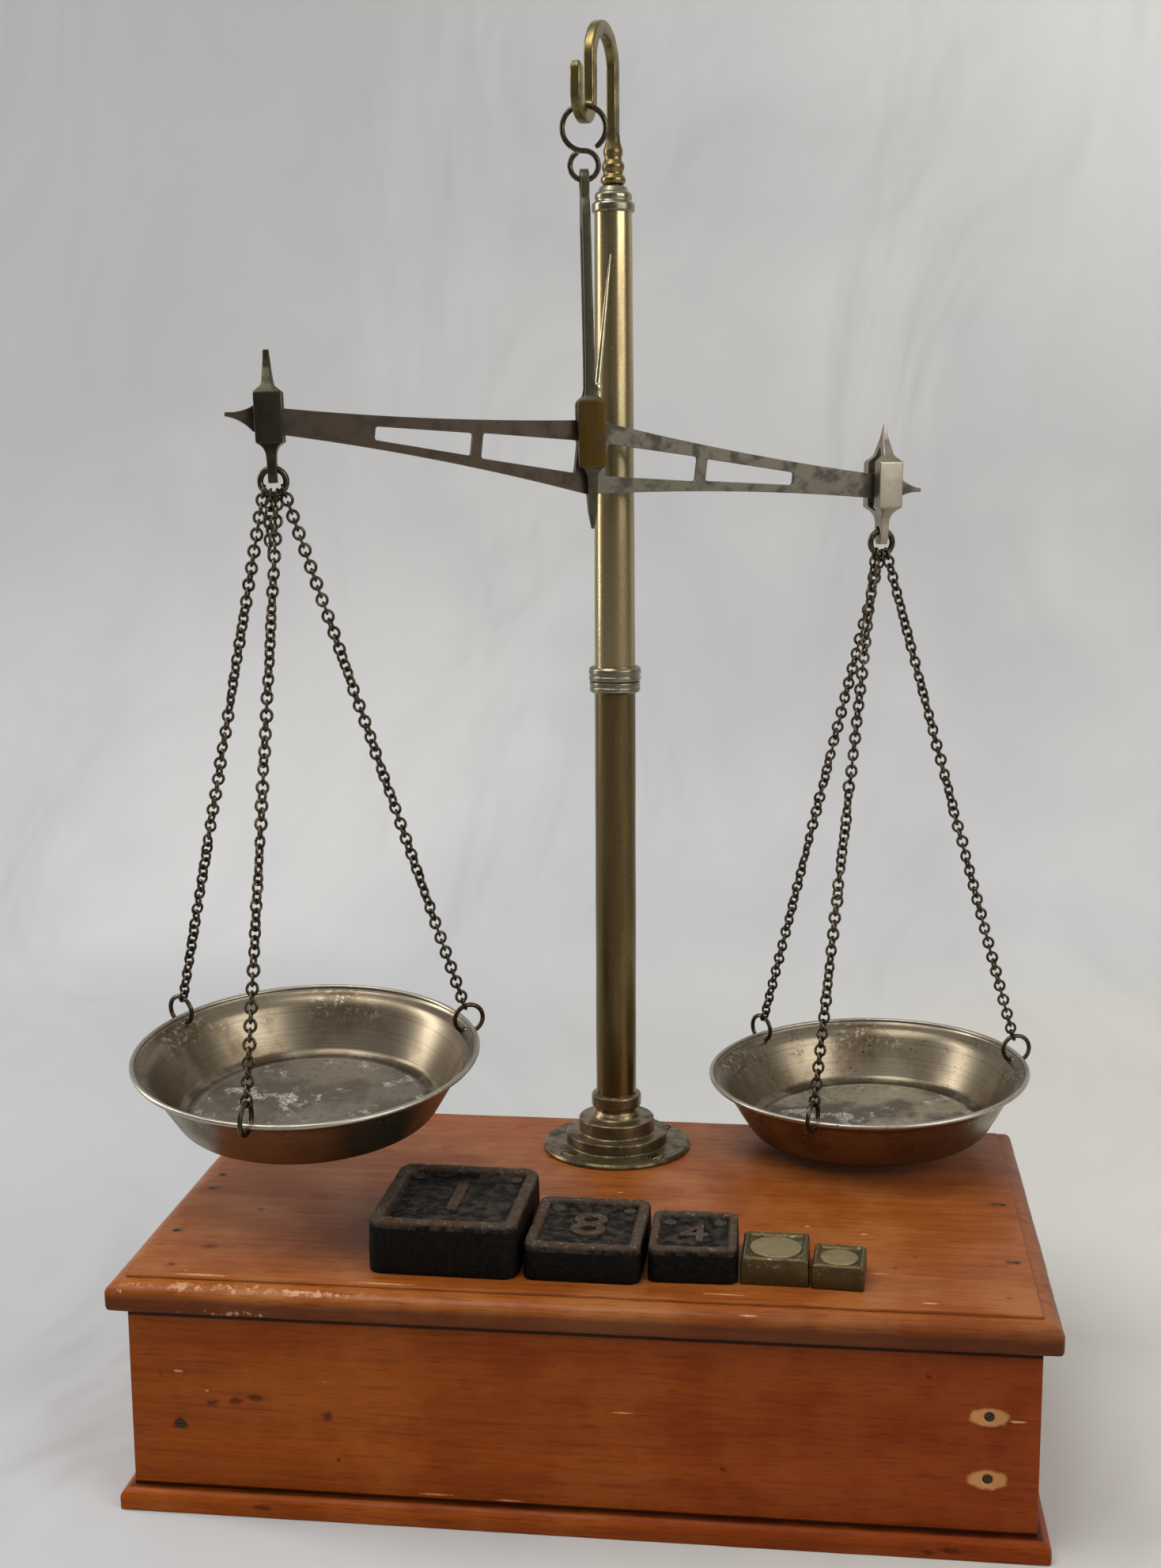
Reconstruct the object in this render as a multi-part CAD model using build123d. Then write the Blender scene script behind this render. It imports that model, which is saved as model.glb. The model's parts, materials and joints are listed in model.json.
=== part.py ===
from build123d import *
import os
from math import cos, pi, radians, sin, sqrt, tan

os.makedirs("parts", exist_ok=True)

# Counter scale: a moulded wooden box carries a two-part brass column with a crook at its top.
# An S hook on the crook holds the shears, and the beam rocks in the shears on a knife edge.
# A stirrup rides on the knife edge at each end of the beam and carries a pan on three chains.
# All sizes are in millimetres and degrees.
# The origin is the centre of the base board's underside.
# +X runs to the right along the front, +Y to the back and +Z up.
# Round pieces with many steps are built of flats, so that their facets stay few.

# Wooden box
lid_width = 381.0
lid_depth = 221.0
lid_thickness = 13.4
lid_overhang = 7.2
lid_quirk = 1.2
lid_moulding = 7.4
lid_ovolo = 4.6
lid_ease = 2.4
box_height = 101.0
base_thickness = 9.1
base_step = 5.3
base_round = 4.5
board_thickness = 11.0
corner_block = 22.0
front_screw_places = ((163.5, 58.2), (163.5, 32.0), (-163.1, 36.6))
left_nail_y = (-57.0, -7.6, 9.0)
right_nail_y = (-53.0, 9.7)
side_width = lid_width - 2 * lid_overhang
side_depth = lid_depth - 2 * lid_overhang
wall_height = box_height - lid_thickness - base_thickness

# Column, on its own axis behind the middle of the lid
column_y = 67.3
flange_radius = 35.0
flange_height = 27.0
lower_tube_radius = 9.5
upper_tube_top_radius = 8.45
tube_bore = 7.4
collar_z = 326.0
column_top = 535.4
cap_height = 11.6
screw_circle = 29.0
screw_turns = (45, 135, 225, 315)
flange_sides = 44
tube_sides = 28
collar_sides = 24

# Crook
crook_angle = 13.0
crook_reach = 37.9
crook_thickness = 6.0
crook_width = 4.5
crook_eye_radius = 8.6
crook_arch_z = 596.0
crook_eye_z = 579.0
crook_tip_z = 591.5
crook_stem_z = 566.0

# S hook of dark wire
hook_wire = 1.15
hook_upper_radius = 9.3
hook_lower_radius = 6.05
hook_angle = 4.0
seat_gap = 0.15

# Beam
beam_angle = 23.2
beam_tilt = 6.22
beam_arm = 139.9
beam_thickness = 3.2
centre_knife_point = Vector(-6.3, 30.8, 429.7)
knife_width = 4.4
knife_height = 5.0
knife_shoulder = 3.2
bearing_gap = 0.06
centre_knife_length = 13.4
end_knife_length = 15.0

# Shears and stirrups
bearing_thickness = 3.0
shears_eye_thickness = 3.6
shears_eye_hole = 2.6
shears_heading = 12.0
left_stirrup_heading = 12.0
pocket_play = 1.2
shears_pocket = 8.6
stirrup_pocket = 8.8

# Hanging gear
ring_wire = 1.35
ring_radius = 5.4
ring_gap = 0.08
tang_half = 2.05
tang_hole = 2.1
tang_hole_z = -20.5
strand_radius = 1.2
strand_sides = 6
strand_foot_gap = 0.4
eye_wire = 1.05
eye_radius = 6.55
tail_length = 26.0

# Pans
pan_radius = 76.1
pan_sides = 54
pan_depth = 28.0
pan_floor_radius = 54.0
sheet = 0.8
eye_circle = 72.0
eye_hole = 2.05
eye_ring_circle = 74.9
eye_ring_z = 2.3
left_pan_centre = (-127.2, -22.8, 172.8)
left_pan_lean = (0.38, -6.45)
left_eye_angles = (154.0, -94.0, 28.0)
right_pan_centre = (119.6, 85.4, 137.6)
right_pan_lean = (-1.98, -1.95)
right_eye_angles = (-110.2, 134.4, 16.0)

# Weights: width, depth, height, corner radius, rim width, middle of the underside, turn
iron_weights = {
    "weight_one_pound": (62.0, 67.0, 22.8, 6.0, 5.4, (-54.4, -59.0), -1.0),
    "weight_eight_ounce": (48.0, 54.0, 15.6, 5.0, 4.8, (2.3, -65.2), -0.6),
    "weight_four_ounce": (36.4, 41.0, 15.0, 4.0, 3.8, (46.0, -67.8), 1.5),
}
brass_weights = {
    "weight_two_ounce": (27.6, 29.4, 11.4, 1.2, 2.6, (79.5, -72.2), -0.8),
    "weight_one_ounce": (21.4, 23.2, 10.2, 1.0, 2.4, (105.0, -76.8), -4.0),
}
weight_ease = 1.2
iron_recess = 3.0
brass_recess = 1.4
plug_radius = 2.6

column = Pos(0, column_y, 0)
crook_direction = Vector(-sin(radians(crook_angle)), -cos(radians(crook_angle)), 0)
crook_point = Vector(0, column_y, 0) + crook_direction * crook_reach
along = Vector(cos(radians(beam_angle)), sin(radians(beam_angle)), 0)
down_arm = along * cos(radians(beam_tilt)) - Vector(0, 0, 1) * sin(radians(beam_tilt))
up_arm = along * sin(radians(beam_tilt)) + Vector(0, 0, 1) * cos(radians(beam_tilt))
left_knife_point = centre_knife_point - down_arm * beam_arm
right_knife_point = centre_knife_point + down_arm * beam_arm


def hanging(point, upward, heading):
    """The place of a piece that hangs at a point: Z along the pull, X near the heading."""
    across = Vector(-sin(radians(heading)), cos(radians(heading)), 0)
    return Location(Plane(origin=point, x_dir=across.cross(upward), z_dir=upward))


beam_place = Location(Plane(origin=centre_knife_point, x_dir=down_arm, z_dir=up_arm))
left_stirrup_place = hanging(
    left_knife_point, left_knife_point - Vector(*left_pan_centre), left_stirrup_heading
)
right_stirrup_place = hanging(
    right_knife_point, right_knife_point - Vector(*right_pan_centre), beam_angle
)


def solid_of_outline(points, thickness, plane=Plane.XZ):
    """A flat piece of the given thickness, centred on the plane."""
    return extrude(plane * make_face(Polyline(*points, close=True)), thickness / 2, both=True)


def skinned(loops, capped=True):
    """A solid over loops of equally many points, with four-sided flats from loop to loop."""
    faces = []
    for first, second in zip(loops, loops[1:]):
        for k in range(len(first)):
            corners = [first[k - 1], first[k], second[k], second[k - 1]]
            faces.append(Face(Wire.make_polygon(corners)))
    if capped:
        faces += [Face(Wire.make_polygon(loop)) for loop in (loops[0], loops[-1])]
    return Solid(Shell(faces))


def turned(rings, sides):
    """A turned piece built of flats, from the radius and height of each ring along its outline."""
    turns = [2 * pi * k / sides for k in range(sides)]
    return skinned([[(r * cos(a), r * sin(a), z) for a in turns] for r, z in rings])


def wire_arc(radius, wire, start, sweep, steps):
    """Part of a wire ring in the XZ plane, built of flats; angles run from +X towards +Z."""
    section = [(radius + wire * cos(pi * k / 3), wire * sin(pi * k / 3)) for k in range(6)]
    loops = []
    for step in range(steps + 1):
        a = radians(start + sweep * step / steps)
        loops.append([(r * cos(a), y, r * sin(a)) for r, y in section])
    if sweep == 360:
        return skinned(loops[:-1] + loops[:1], capped=False)
    return skinned(loops)


def quarter(centre, radius_x, radius_y, start, flats):
    """Points on a quarter of an ellipse, from the start angle on, to draw a rounded edge."""
    turns = [radians(start + 90 * k / flats) for k in range(flats + 1)]
    return [(centre[0] + radius_x * cos(a), centre[1] + radius_y * sin(a)) for a in turns]


# The box

def lid_section(width):
    """The lid cut across: flat top, small step, quarter round, square edge and eased lower corner."""
    half = width / 2
    edge_top = lid_thickness - lid_quirk - lid_ovolo
    right = [
        (0, 0),
        *quarter((half - lid_ease, lid_ease), lid_ease, lid_ease, -90, 2),
        *quarter((half - lid_moulding, edge_top), lid_moulding, lid_ovolo, 0, 4),
        (half - lid_moulding, lid_thickness),
        (0, lid_thickness),
    ]
    half_section = make_face(Polyline(*right, close=True))
    return half_section + mirror(half_section, about=Plane.YZ)


def lid_board():
    """The lid: its section run both ways, so that the moulding is mitred at the corners."""
    lengthways = extrude(Plane.YZ * lid_section(lid_depth), lid_width, both=True)
    crossways = extrude(Plane.XZ * lid_section(lid_width), lid_depth, both=True)
    return Pos(0, 0, box_height - lid_thickness) * (lengthways & crossways)


def base_board():
    """The base board, standing out all round, with its upper edge rounded."""
    board = Pos(0, 0, base_thickness / 2) * Box(
        side_width + 2 * base_step, side_depth + 2 * base_step, base_thickness
    )
    return fillet(board.edges().group_by(Axis.Z)[-1], base_round)


def wall(width, depth, x, y):
    """One upright board of the box."""
    return Pos(x, y, base_thickness + wall_height / 2) * Box(width, depth, wall_height)


def walls():
    """Front and back run the full width, and the ends fit between them."""
    board_y = side_depth / 2 - board_thickness / 2
    board_x = side_width / 2 - board_thickness / 2
    end_depth = side_depth - 2 * board_thickness
    return {
        "front_board": wall(side_width, board_thickness, 0, -board_y),
        "back_board": wall(side_width, board_thickness, 0, board_y),
        "left_end_board": wall(board_thickness, end_depth, -board_x, 0),
        "right_end_board": wall(board_thickness, end_depth, board_x, 0),
    }


def corner_blocks():
    """Square blocks glued inside the four corners, which take the front screws."""
    x = side_width / 2 - board_thickness - corner_block / 2
    y = side_depth / 2 - board_thickness - corner_block / 2
    return [wall(corner_block, corner_block, i * x, j * y) for i in (-1, 1) for j in (-1, 1)]


def fastener(head_radius, head_depth, shank_radius, length):
    """A countersunk screw or nail along -Z, its face at z = 0."""
    head = extrude(RegularPolygon(head_radius, 8), -head_depth)
    shank = extrude(RegularPolygon(shank_radius, 6), -length)
    return head + shank


def front_screws():
    """Two screws at the right end of the front board and one at the left, into the corner blocks."""
    screw = Rot(90, 0, 0) * fastener(3.2, 1.4, 1.6, board_thickness + 12)
    return [Pos(x, -side_depth / 2, z) * screw for x, z in front_screw_places]


def lid_nails():
    """Nails through the lid into the end boards, where the wood shows them."""
    x = side_width / 2 - board_thickness / 2
    nail = fastener(1.5, 1.2, 0.8, lid_thickness + 16)
    places = [(-x, y) for y in left_nail_y] + [(x, y) for y in right_nail_y]
    return [Pos(px, py, box_height) * nail for px, py in places]


# The column

def screw_blanks():
    """Four screws through the flange into the lid, before their slots are cut."""
    screw = fastener(3.1, 1.2, 1.6, 12)
    top = box_height + 2.2
    return [column * Rot(0, 0, turn) * Pos(screw_circle, 0, top) * screw for turn in screw_turns]


def flange():
    """The turned foot: a thin disc, two steps, a small bead, a neck and a plain ring."""
    foot = turned([
        (flange_radius, 0),
        (flange_radius, 1.5),
        (flange_radius - 1.4, 2.4),
        (24.1, 2.8),
        (24.1, 7.6),
        (17.9, 8.6),
        (17.9, 14.8),
        (11.4, 15.6),
        (10.2, 18.8),
        (11.75, 21.0),
        (11.75, 26.2),
        (lower_tube_radius + 0.6, flange_height),
    ], flange_sides)
    bore = Cylinder(lower_tube_radius, 3 * flange_height)
    return column * Pos(0, 0, box_height) * (foot - bore) - screw_blanks()


def lower_tube():
    """The lower tube stands in the flange and runs to the collar."""
    length = collar_z - box_height
    tube = Cylinder(lower_tube_radius, length) - Cylinder(tube_bore, length)
    return column * Pos(0, 0, box_height + length / 2) * tube


def upper_tube():
    """The upper tube, drawn slightly thinner towards the cap."""
    length = column_top - collar_z
    outside = turned([(lower_tube_radius - 0.05, 0), (upper_tube_top_radius, length)], tube_sides)
    return column * Pos(0, 0, collar_z) * (outside - Cylinder(tube_bore, 3 * length))


def tube_spigot():
    """The plug inside both tubes that the collar draws together."""
    return column * Pos(0, 0, collar_z) * turned([(tube_bore, -13), (tube_bore, 13)], 24)


def collars():
    """The two halves of the threaded collar, one on each tube."""
    lower = turned([(10.9, -5.4), (11.7, -4.4), (11.7, -0.1)], collar_sides)
    upper = turned([(12.0, 0.1), (12.0, 5.6), (11.0, 6.8)], collar_sides)
    seat = column * Pos(0, 0, collar_z)
    bore_radius = lower_tube_radius / cos(pi / collar_sides)
    bore = turned([(bore_radius, -10), (bore_radius, 10)], collar_sides)
    return {"lower_collar": seat * (lower - bore), "upper_collar": seat * (upper - bore)}


def column_cap():
    """The turned cap: a spigot in the tube, a rim, a step and a low dome."""
    cap = turned([
        (tube_bore, -8),
        (tube_bore, 0),
        (9.6, 0),
        (9.6, 4.2),
        (8.3, 5.0),
        (8.3, 8.0),
        (5.4, cap_height),
    ], 28)
    return column * Pos(0, 0, column_top) * cap


def crook():
    """A flat bar bent into a hook over a turned baluster stem; built with local X as the reach."""
    eye = crook_eye_radius
    near = crook_reach - eye
    with BuildLine() as path:
        Line((0, crook_stem_z), (0, crook_arch_z))
        CenterArc((near / 2, crook_arch_z), near / 2, 180, -180)
        Line((near, crook_arch_z), (near, crook_eye_z))
        CenterArc((crook_reach, crook_eye_z), eye, 180, 180)
        Line((crook_reach + eye, crook_eye_z), (crook_reach + eye, crook_tip_z))
    bar_outline = trace(path.line, crook_thickness)
    bar = extrude(Plane.XZ * bar_outline, crook_width / 2, both=True)
    start = column_top + cap_height
    stem = turned([
        (4.2, start),
        (5.6, start + 2.4),
        (4.3, start + 4.8),
        (5.1, start + 8.0),
        (3.9, start + 11.0),
        (4.4, start + 14.0),
        (3.3, start + 18.0),
        (2.4, start + 19.0),
    ], 12)
    turn = 270 - crook_angle
    return column * Rot(0, 0, turn) * (bar + stem)


# The hanging gear above the beam

hook_top = crook_eye_z - crook_eye_radius + crook_thickness / 2
hook_seat = hook_upper_radius - hook_wire
hook_seat -= sqrt(hook_seat**2 - (crook_width / 2 + 0.1) ** 2)
hook_upper_z = hook_top + hook_seat + hook_wire + seat_gap - hook_upper_radius
hook_lower_z = hook_upper_z - hook_upper_radius - hook_lower_radius
hook_bottom = hook_lower_z - hook_lower_radius
eye_seat_rise = hook_lower_radius - hook_wire
eye_seat_rise -= sqrt(eye_seat_rise**2 - (shears_eye_thickness / 2) ** 2)
shears_eye_height = hook_bottom + hook_wire + eye_seat_rise + seat_gap - shears_eye_hole
shears_eye_point = Vector(crook_point.X, crook_point.Y, shears_eye_height)
shears_pull = shears_eye_point - centre_knife_point
shears_eye_z = shears_pull.length
shears_place = hanging(centre_knife_point, shears_pull, shears_heading)


def s_hook():
    """Two loops of one wire: the upper over the crook, the lower through the eye of the shears."""
    upper = Pos(0, 0, hook_upper_z) * wire_arc(hook_upper_radius, hook_wire, -60, 330, 22)
    lower = Pos(0, 0, hook_lower_z) * wire_arc(hook_lower_radius, hook_wire, 130, 320, 18)
    return Pos(crook_point.X, crook_point.Y, 0) * Rot(0, 0, hook_angle) * (upper + lower)


# The beam and its fittings

def mirrored(points):
    """A closed outline from its right half, listed from the top down to the bottom."""
    left = [(-x, z) for x, z in reversed(points) if x > 0]
    return make_face(Polyline(*points, *left, close=True))


def crossed(side, front, width):
    """A forging that has one outline from the side and another from the front."""
    from_side = extrude(Plane.YZ * side, width, both=True)
    from_front = extrude(Plane.XZ * front, width, both=True)
    return from_side & from_front


def window(start, end, start_top, end_top, start_bottom, end_bottom):
    """One long opening in the beam, its corners eased."""
    corners = [(start, start_top), (end, end_top), (end, end_bottom), (start, start_bottom)]
    opening = make_face(Polyline(*corners, close=True))
    return chamfer(opening.vertices(), 0.8)


def beam_half():
    """The right half of the beam's outline, with its end block and pointed end."""
    block = beam_arm - 2.9
    end = beam_arm + 6.3
    tip = beam_arm + 18.5
    with BuildSketch() as half:
        with BuildLine():
            Line((0, -17.8), (0, 14.4))
            ThreePointArc((0, 14.4), (80, 6.8), (block, 4.5))
            Line((block, 4.5), (end, 5.2))
            ThreePointArc((end, 5.2), (end + 4.4, 2.3), (tip, 0.5))
            Line((tip, 0.5), (tip, -1.3))
            ThreePointArc((tip, -1.3), (end + 4.4, -3.2), (end, -6.3))
            Line((end, -6.3), (block, -6.3))
            ThreePointArc((block, -6.3), (68, -9.9), (0, -17.8))
        make_face()
    near_window = window(6.8, 49, 4.8, 3.5, -9.2, -7.2)
    far_window = window(53.5, 95.5, 3.0, 1.3, -6.6, -4.3)
    return half.sketch - near_window - far_window


def knife(length, edge):
    """A hardened knife across the beam; its edge lies on the local axis and points down or up."""
    half = [(0, 0), (knife_width / 2, knife_shoulder), (knife_width / 2 - 0.5, knife_height)]
    other = [(-x, z) for x, z in reversed(half[1:])]
    section = Plane.XZ * make_face(Polyline(*half, *other, close=True))
    bar = extrude(section, length / 2, both=True)
    return bar if edge == "down" else Rot(0, 180, 0) * bar


def knives():
    """The centre knife points down and the two end knives point up, all three edges in one line."""
    return {
        "centre_knife": beam_place * knife(centre_knife_length, "down"),
        "end_knife_left": beam_place * Pos(-beam_arm, 0, 0) * knife(end_knife_length, "up"),
        "end_knife_right": beam_place * Pos(beam_arm, 0, 0) * knife(end_knife_length, "up"),
    }


def pointer():
    """The pointer: a tang in the beam, a collar and a long tapered blade between the cheeks."""
    tang = turned([(1.1, 8.5), (1.1, 27.5)], 8)
    collar = turned([(1.9, 27.0), (1.9, 29.6)], 12)
    blade = solid_of_outline([(-1.6, 29), (1.6, 29), (0.3, 85), (-0.3, 85)], 1.4)
    return beam_place * (tang + collar + blade)


def beam():
    """The pierced plate of the beam, with seats for the knives and the pointer."""
    half = beam_half()
    plate = extrude(Plane.XZ * (half + mirror(half, about=Plane.YZ)), beam_thickness / 2, both=True)
    body = beam_place * plate - pointer()
    for piece in knives().values():
        body -= piece
    return body


def pocket(width, bottom, top, inner, outer):
    """A pair of blocks on both sides of the beam, for the pockets and the bearings in them."""
    depth = outer - inner
    block = Pos(0, 0, (bottom + top) / 2) * Box(width, depth, top - bottom)
    return [Pos(0, side * (inner + outer) / 2, 0) * block for side in (-1, 1)]


def shears():
    """The shears: an eye, two long limbs, housings for the centre knife and a pointed tail."""
    outside = mirrored([
        (4.3, 109.7), (3.4, 106.5), (7.0, 101.5), (7.0, 24.5), (8.2, 22.5), (8.2, -5.5), (7.0, -7.5),
        (6.9, -11.0), (6.1, -16.0), (4.4, -22.0), (2.1, -28.0), (0, -32.6),
    ])
    slot = mirrored([
        (0, 97.0), (2.4, 95.0), (4.2, 92.0), (4.2, 24.0), (3.2, 22.0), (3.2, -5.0), (4.2, -7.0),
        (4.0, -11.0), (3.0, -16.0), (1.4, -21.0), (0, -24.0),
    ])
    eye = Pos(0, shears_eye_z) * Circle(5.6)
    hole = Pos(0, shears_eye_z) * Circle(shears_eye_hole)
    front = mirrored([
        (1.8, 120.0), (1.8, 95.0), (2.1, 30.0), (2.7, 27.0), (3.9, 24.4), (5.85, 22.5), (5.85, -5.5),
        (4.0, -6.6), (2.5, -9.0), (1.9, -14.0), (0.6, -32.6),
    ])
    body = crossed(outside + eye - hole - slot, front, 20)
    for part in pocket(shears_pocket, -bearing_thickness - 0.2, knife_height + pocket_play, 3.2, 7.2):
        body -= part
    return shears_place * body


def shears_bearings():
    """The hard plates in the housings on which the centre knife rocks."""
    plates = pocket(shears_pocket, -bearing_thickness - 0.2, -bearing_gap, 3.2, 7.2)
    return [shears_place * plate for plate in plates]


def stirrup(place):
    """A stirrup: a pointed top, housings that ride on the end knife, and a tang for the ring."""
    outside = mirrored([
        (0, 27.7), (0.8, 23.5), (2.6, 19.0), (5.6, 15.0), (8.2, 12.0), (9.0, 10.5), (9.0, -10.2),
        (6.6, -12.4), (4.6, -14.6), (3.6, -17.0), (3.6, -23.4), (2.5, -25.8), (0, -26.6),
    ])
    slot = mirrored([
        (0, 17.0), (2.2, 13.8), (3.6, 10.5), (3.6, -8.0), (2.4, -10.4), (0, -12.0),
    ])
    hole = Pos(0, tang_hole_z) * Circle(tang_hole)
    front = mirrored([
        (0.5, 28.0), (1.2, 20.0), (2.0, 14.0), (3.2, 11.8), (5.75, 10.5), (5.75, -9.8), (3.4, -11.4),
        (tang_half, -14.0), (tang_half, -26.8),
    ])
    body = crossed(outside - hole - slot, front, 20)
    for part in pocket(stirrup_pocket, -knife_height - pocket_play, bearing_thickness + 0.2, 3.6, 8.0):
        body -= part
    return place * body


def stirrup_bearings(place):
    """The hard plates inside a stirrup that rest on the end knife."""
    plates = pocket(stirrup_pocket, bearing_gap, bearing_thickness + 0.2, 3.6, 8.0)
    return [place * plate for plate in plates]


# The pans and what carries them

ring_z = tang_hole_z - tang_hole + ring_gap - sqrt((ring_radius - ring_wire) ** 2 - tang_half**2)
ring_bottom = ring_radius + ring_wire


def main_ring(place):
    """The ring in the stirrup's tang, which gathers the chains."""
    return place * Pos(0, 0, ring_z) * wire_arc(ring_radius, ring_wire, 0, 360, 24)


def strand_top(place, offset):
    """Where a chain starts, just under the ring's wire."""
    nearest = max(abs(offset) - strand_radius, 0)
    drop = sqrt(ring_bottom**2 - nearest**2) + 0.05
    return (place * Pos(offset, 0, ring_z - drop)).position


def pan_plane(centre, lean):
    """The pan's own frame: the middle of its rim, tipped by the two angles as it hangs."""
    slope_x = tan(radians(lean[0]))
    slope_y = tan(radians(lean[1]))
    return Location(Plane(origin=centre, x_dir=(1, 0, -slope_x), z_dir=(slope_x, slope_y, 1)))


def pan():
    """A spun pan: flat floor, sloping wall, narrow flange and a rolled edge."""
    outside = [
        (pan_floor_radius, -pan_depth),
        (57.0, -26.5),
        (68.4, -6.6),
        (70.1, -4.6),
        (pan_radius, -1.8),
        (pan_radius, 0.3),
    ]
    inside = [
        (pan_radius - sheet, 0.3),
        (pan_radius - sheet, -1.2),
        (69.6, -3.8),
        (67.6, -6.3),
        (56.4, -25.7),
        (pan_floor_radius - 0.3, -pan_depth + sheet),
    ]
    return turned(outside + inside, pan_sides)


def eye_seat(angle):
    """The place of one eye ring in the pan's frame, standing in the plane through the pan's axis."""
    return Rot(0, 0, angle) * Pos(eye_ring_circle, 0, eye_ring_z)


def pierced_pan(angles):
    """The pan with a hole in its flange for each eye ring."""
    body = pan()
    hole = turned([(eye_hole, -8), (eye_hole, 2)], 10)
    for angle in angles:
        body -= Rot(0, 0, angle) * Pos(eye_circle, 0, 0) * hole
    return body


def eye_rings(angles):
    """Three small rings through the flange and round the pan's edge."""
    ring = wire_arc(eye_radius, eye_wire, 0, 360, 14)
    return [eye_seat(angle) * ring for angle in angles]


def strand(start, end):
    """A chain pulled straight between two points, as one slim solid."""
    run = end - start
    section = Pos(start.X, start.Y, start.Z) * RegularPolygon(strand_radius, strand_sides)
    return extrude(section, run.length, dir=run.normalized())


def strands(stirrup_place, pan_place, angles, offsets):
    """The three chains of one pan, from the main ring to the eye rings."""
    pieces = []
    for angle, offset in zip(angles, offsets):
        top = strand_top(stirrup_place, offset)
        middle = (pan_place * eye_seat(angle)).position
        foot = middle + (top - middle).normalized() * (eye_radius + eye_wire + strand_foot_gap)
        pieces.append(strand(top, foot))
    return pieces


def balance_tail(place, offset):
    """The short run of spare links on the left ring that trims the balance."""
    start = strand_top(place, offset)
    return strand(start, start - Vector(0, 0, tail_length))


# The weights

def soft_rectangle(width, depth, corner, height):
    """Points at one height round a rectangle whose corners are each three flats."""
    points = []
    for start, side_x, side_y in ((0, 1, 1), (90, -1, 1), (180, -1, -1), (270, 1, -1)):
        centre = (side_x * (width / 2 - corner), side_y * (depth / 2 - corner))
        points += [(x, y, height) for x, y in quarter(centre, corner, corner, start, 3)]
    return points


def weight_blank(width, depth, height, corner):
    """A square block with rounded upright corners and an eased upper edge."""
    ease = min(weight_ease, corner / 2)
    return skinned([
        soft_rectangle(width, depth, corner, 0),
        soft_rectangle(width, depth, corner, height - ease),
        soft_rectangle(width - 2 * ease, depth - 2 * ease, corner - ease, height),
    ])


def iron_weight(width, depth, height, corner, rim):
    """A cast weight with a sunk top, its sides drafted, inside a raised rim."""
    draft = iron_recess * tan(radians(20))
    inner_width = width - 2 * rim
    inner_depth = depth - 2 * rim
    recess = skinned([
        soft_rectangle(inner_width - 2 * draft, inner_depth - 2 * draft, corner - 2, height - iron_recess),
        soft_rectangle(inner_width, inner_depth, corner - 2 + draft, height),
        soft_rectangle(inner_width, inner_depth, corner - 2 + draft, height + 1),
    ])
    return weight_blank(width, depth, height, corner) - recess


def plugs(width, depth, height, rim):
    """The adjusting plugs of lead in the sunk top, near its back corners."""
    inset_x = width / 2 - rim - plug_radius - 1.4
    inset_y = depth / 2 - rim - plug_radius - 1.4
    top = height - iron_recess
    plug = turned([(plug_radius, top - 2.5), (plug_radius, top + 0.5)], 12)
    return [Pos(sign * inset_x, inset_y, 0) * plug for sign in (-1, 1)]


def brass_weight(width, depth, height, corner, rim):
    """A small weight with a square recess around a raised round disc."""
    floor = height - brass_recess
    recess = Pos(0, 0, floor) * extrude(Rectangle(width - 2 * rim, depth - 2 * rim), brass_recess + 1)
    disc = turned([(width / 2 - rim - 0.4, floor - 0.5), (width / 2 - rim - 0.4, height - 0.6)], 28)
    return weight_blank(width, depth, height, corner) - recess + disc


def weight_place(middle, turn):
    """The place of a weight on the lid."""
    return Pos(middle[0], middle[1], box_height) * Rot(0, 0, turn)


# Everything together

left_pan_place = pan_plane(left_pan_centre, left_pan_lean)
right_pan_place = pan_plane(right_pan_centre, right_pan_lean)

front_board = walls()["front_board"]
for screw in front_screws():
    front_board -= screw
blocks = Compound(corner_blocks())
for screw in front_screws():
    blocks -= screw
lid = lid_board()
for blank in screw_blanks() + lid_nails():
    lid -= blank
end_boards = {name: walls()[name] for name in ("left_end_board", "right_end_board")}
for nail in lid_nails():
    end_boards = {name: board - nail for name, board in end_boards.items()}
slot_cutter = Pos(0, 0, 0.4) * Box(7, 0.9, 1.4)
flange_screws = [
    blank - column * Rot(0, 0, turn) * Pos(screw_circle, 0, box_height + 2.2) * slot_cutter
    for blank, turn in zip(screw_blanks(), screw_turns)
]

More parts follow.
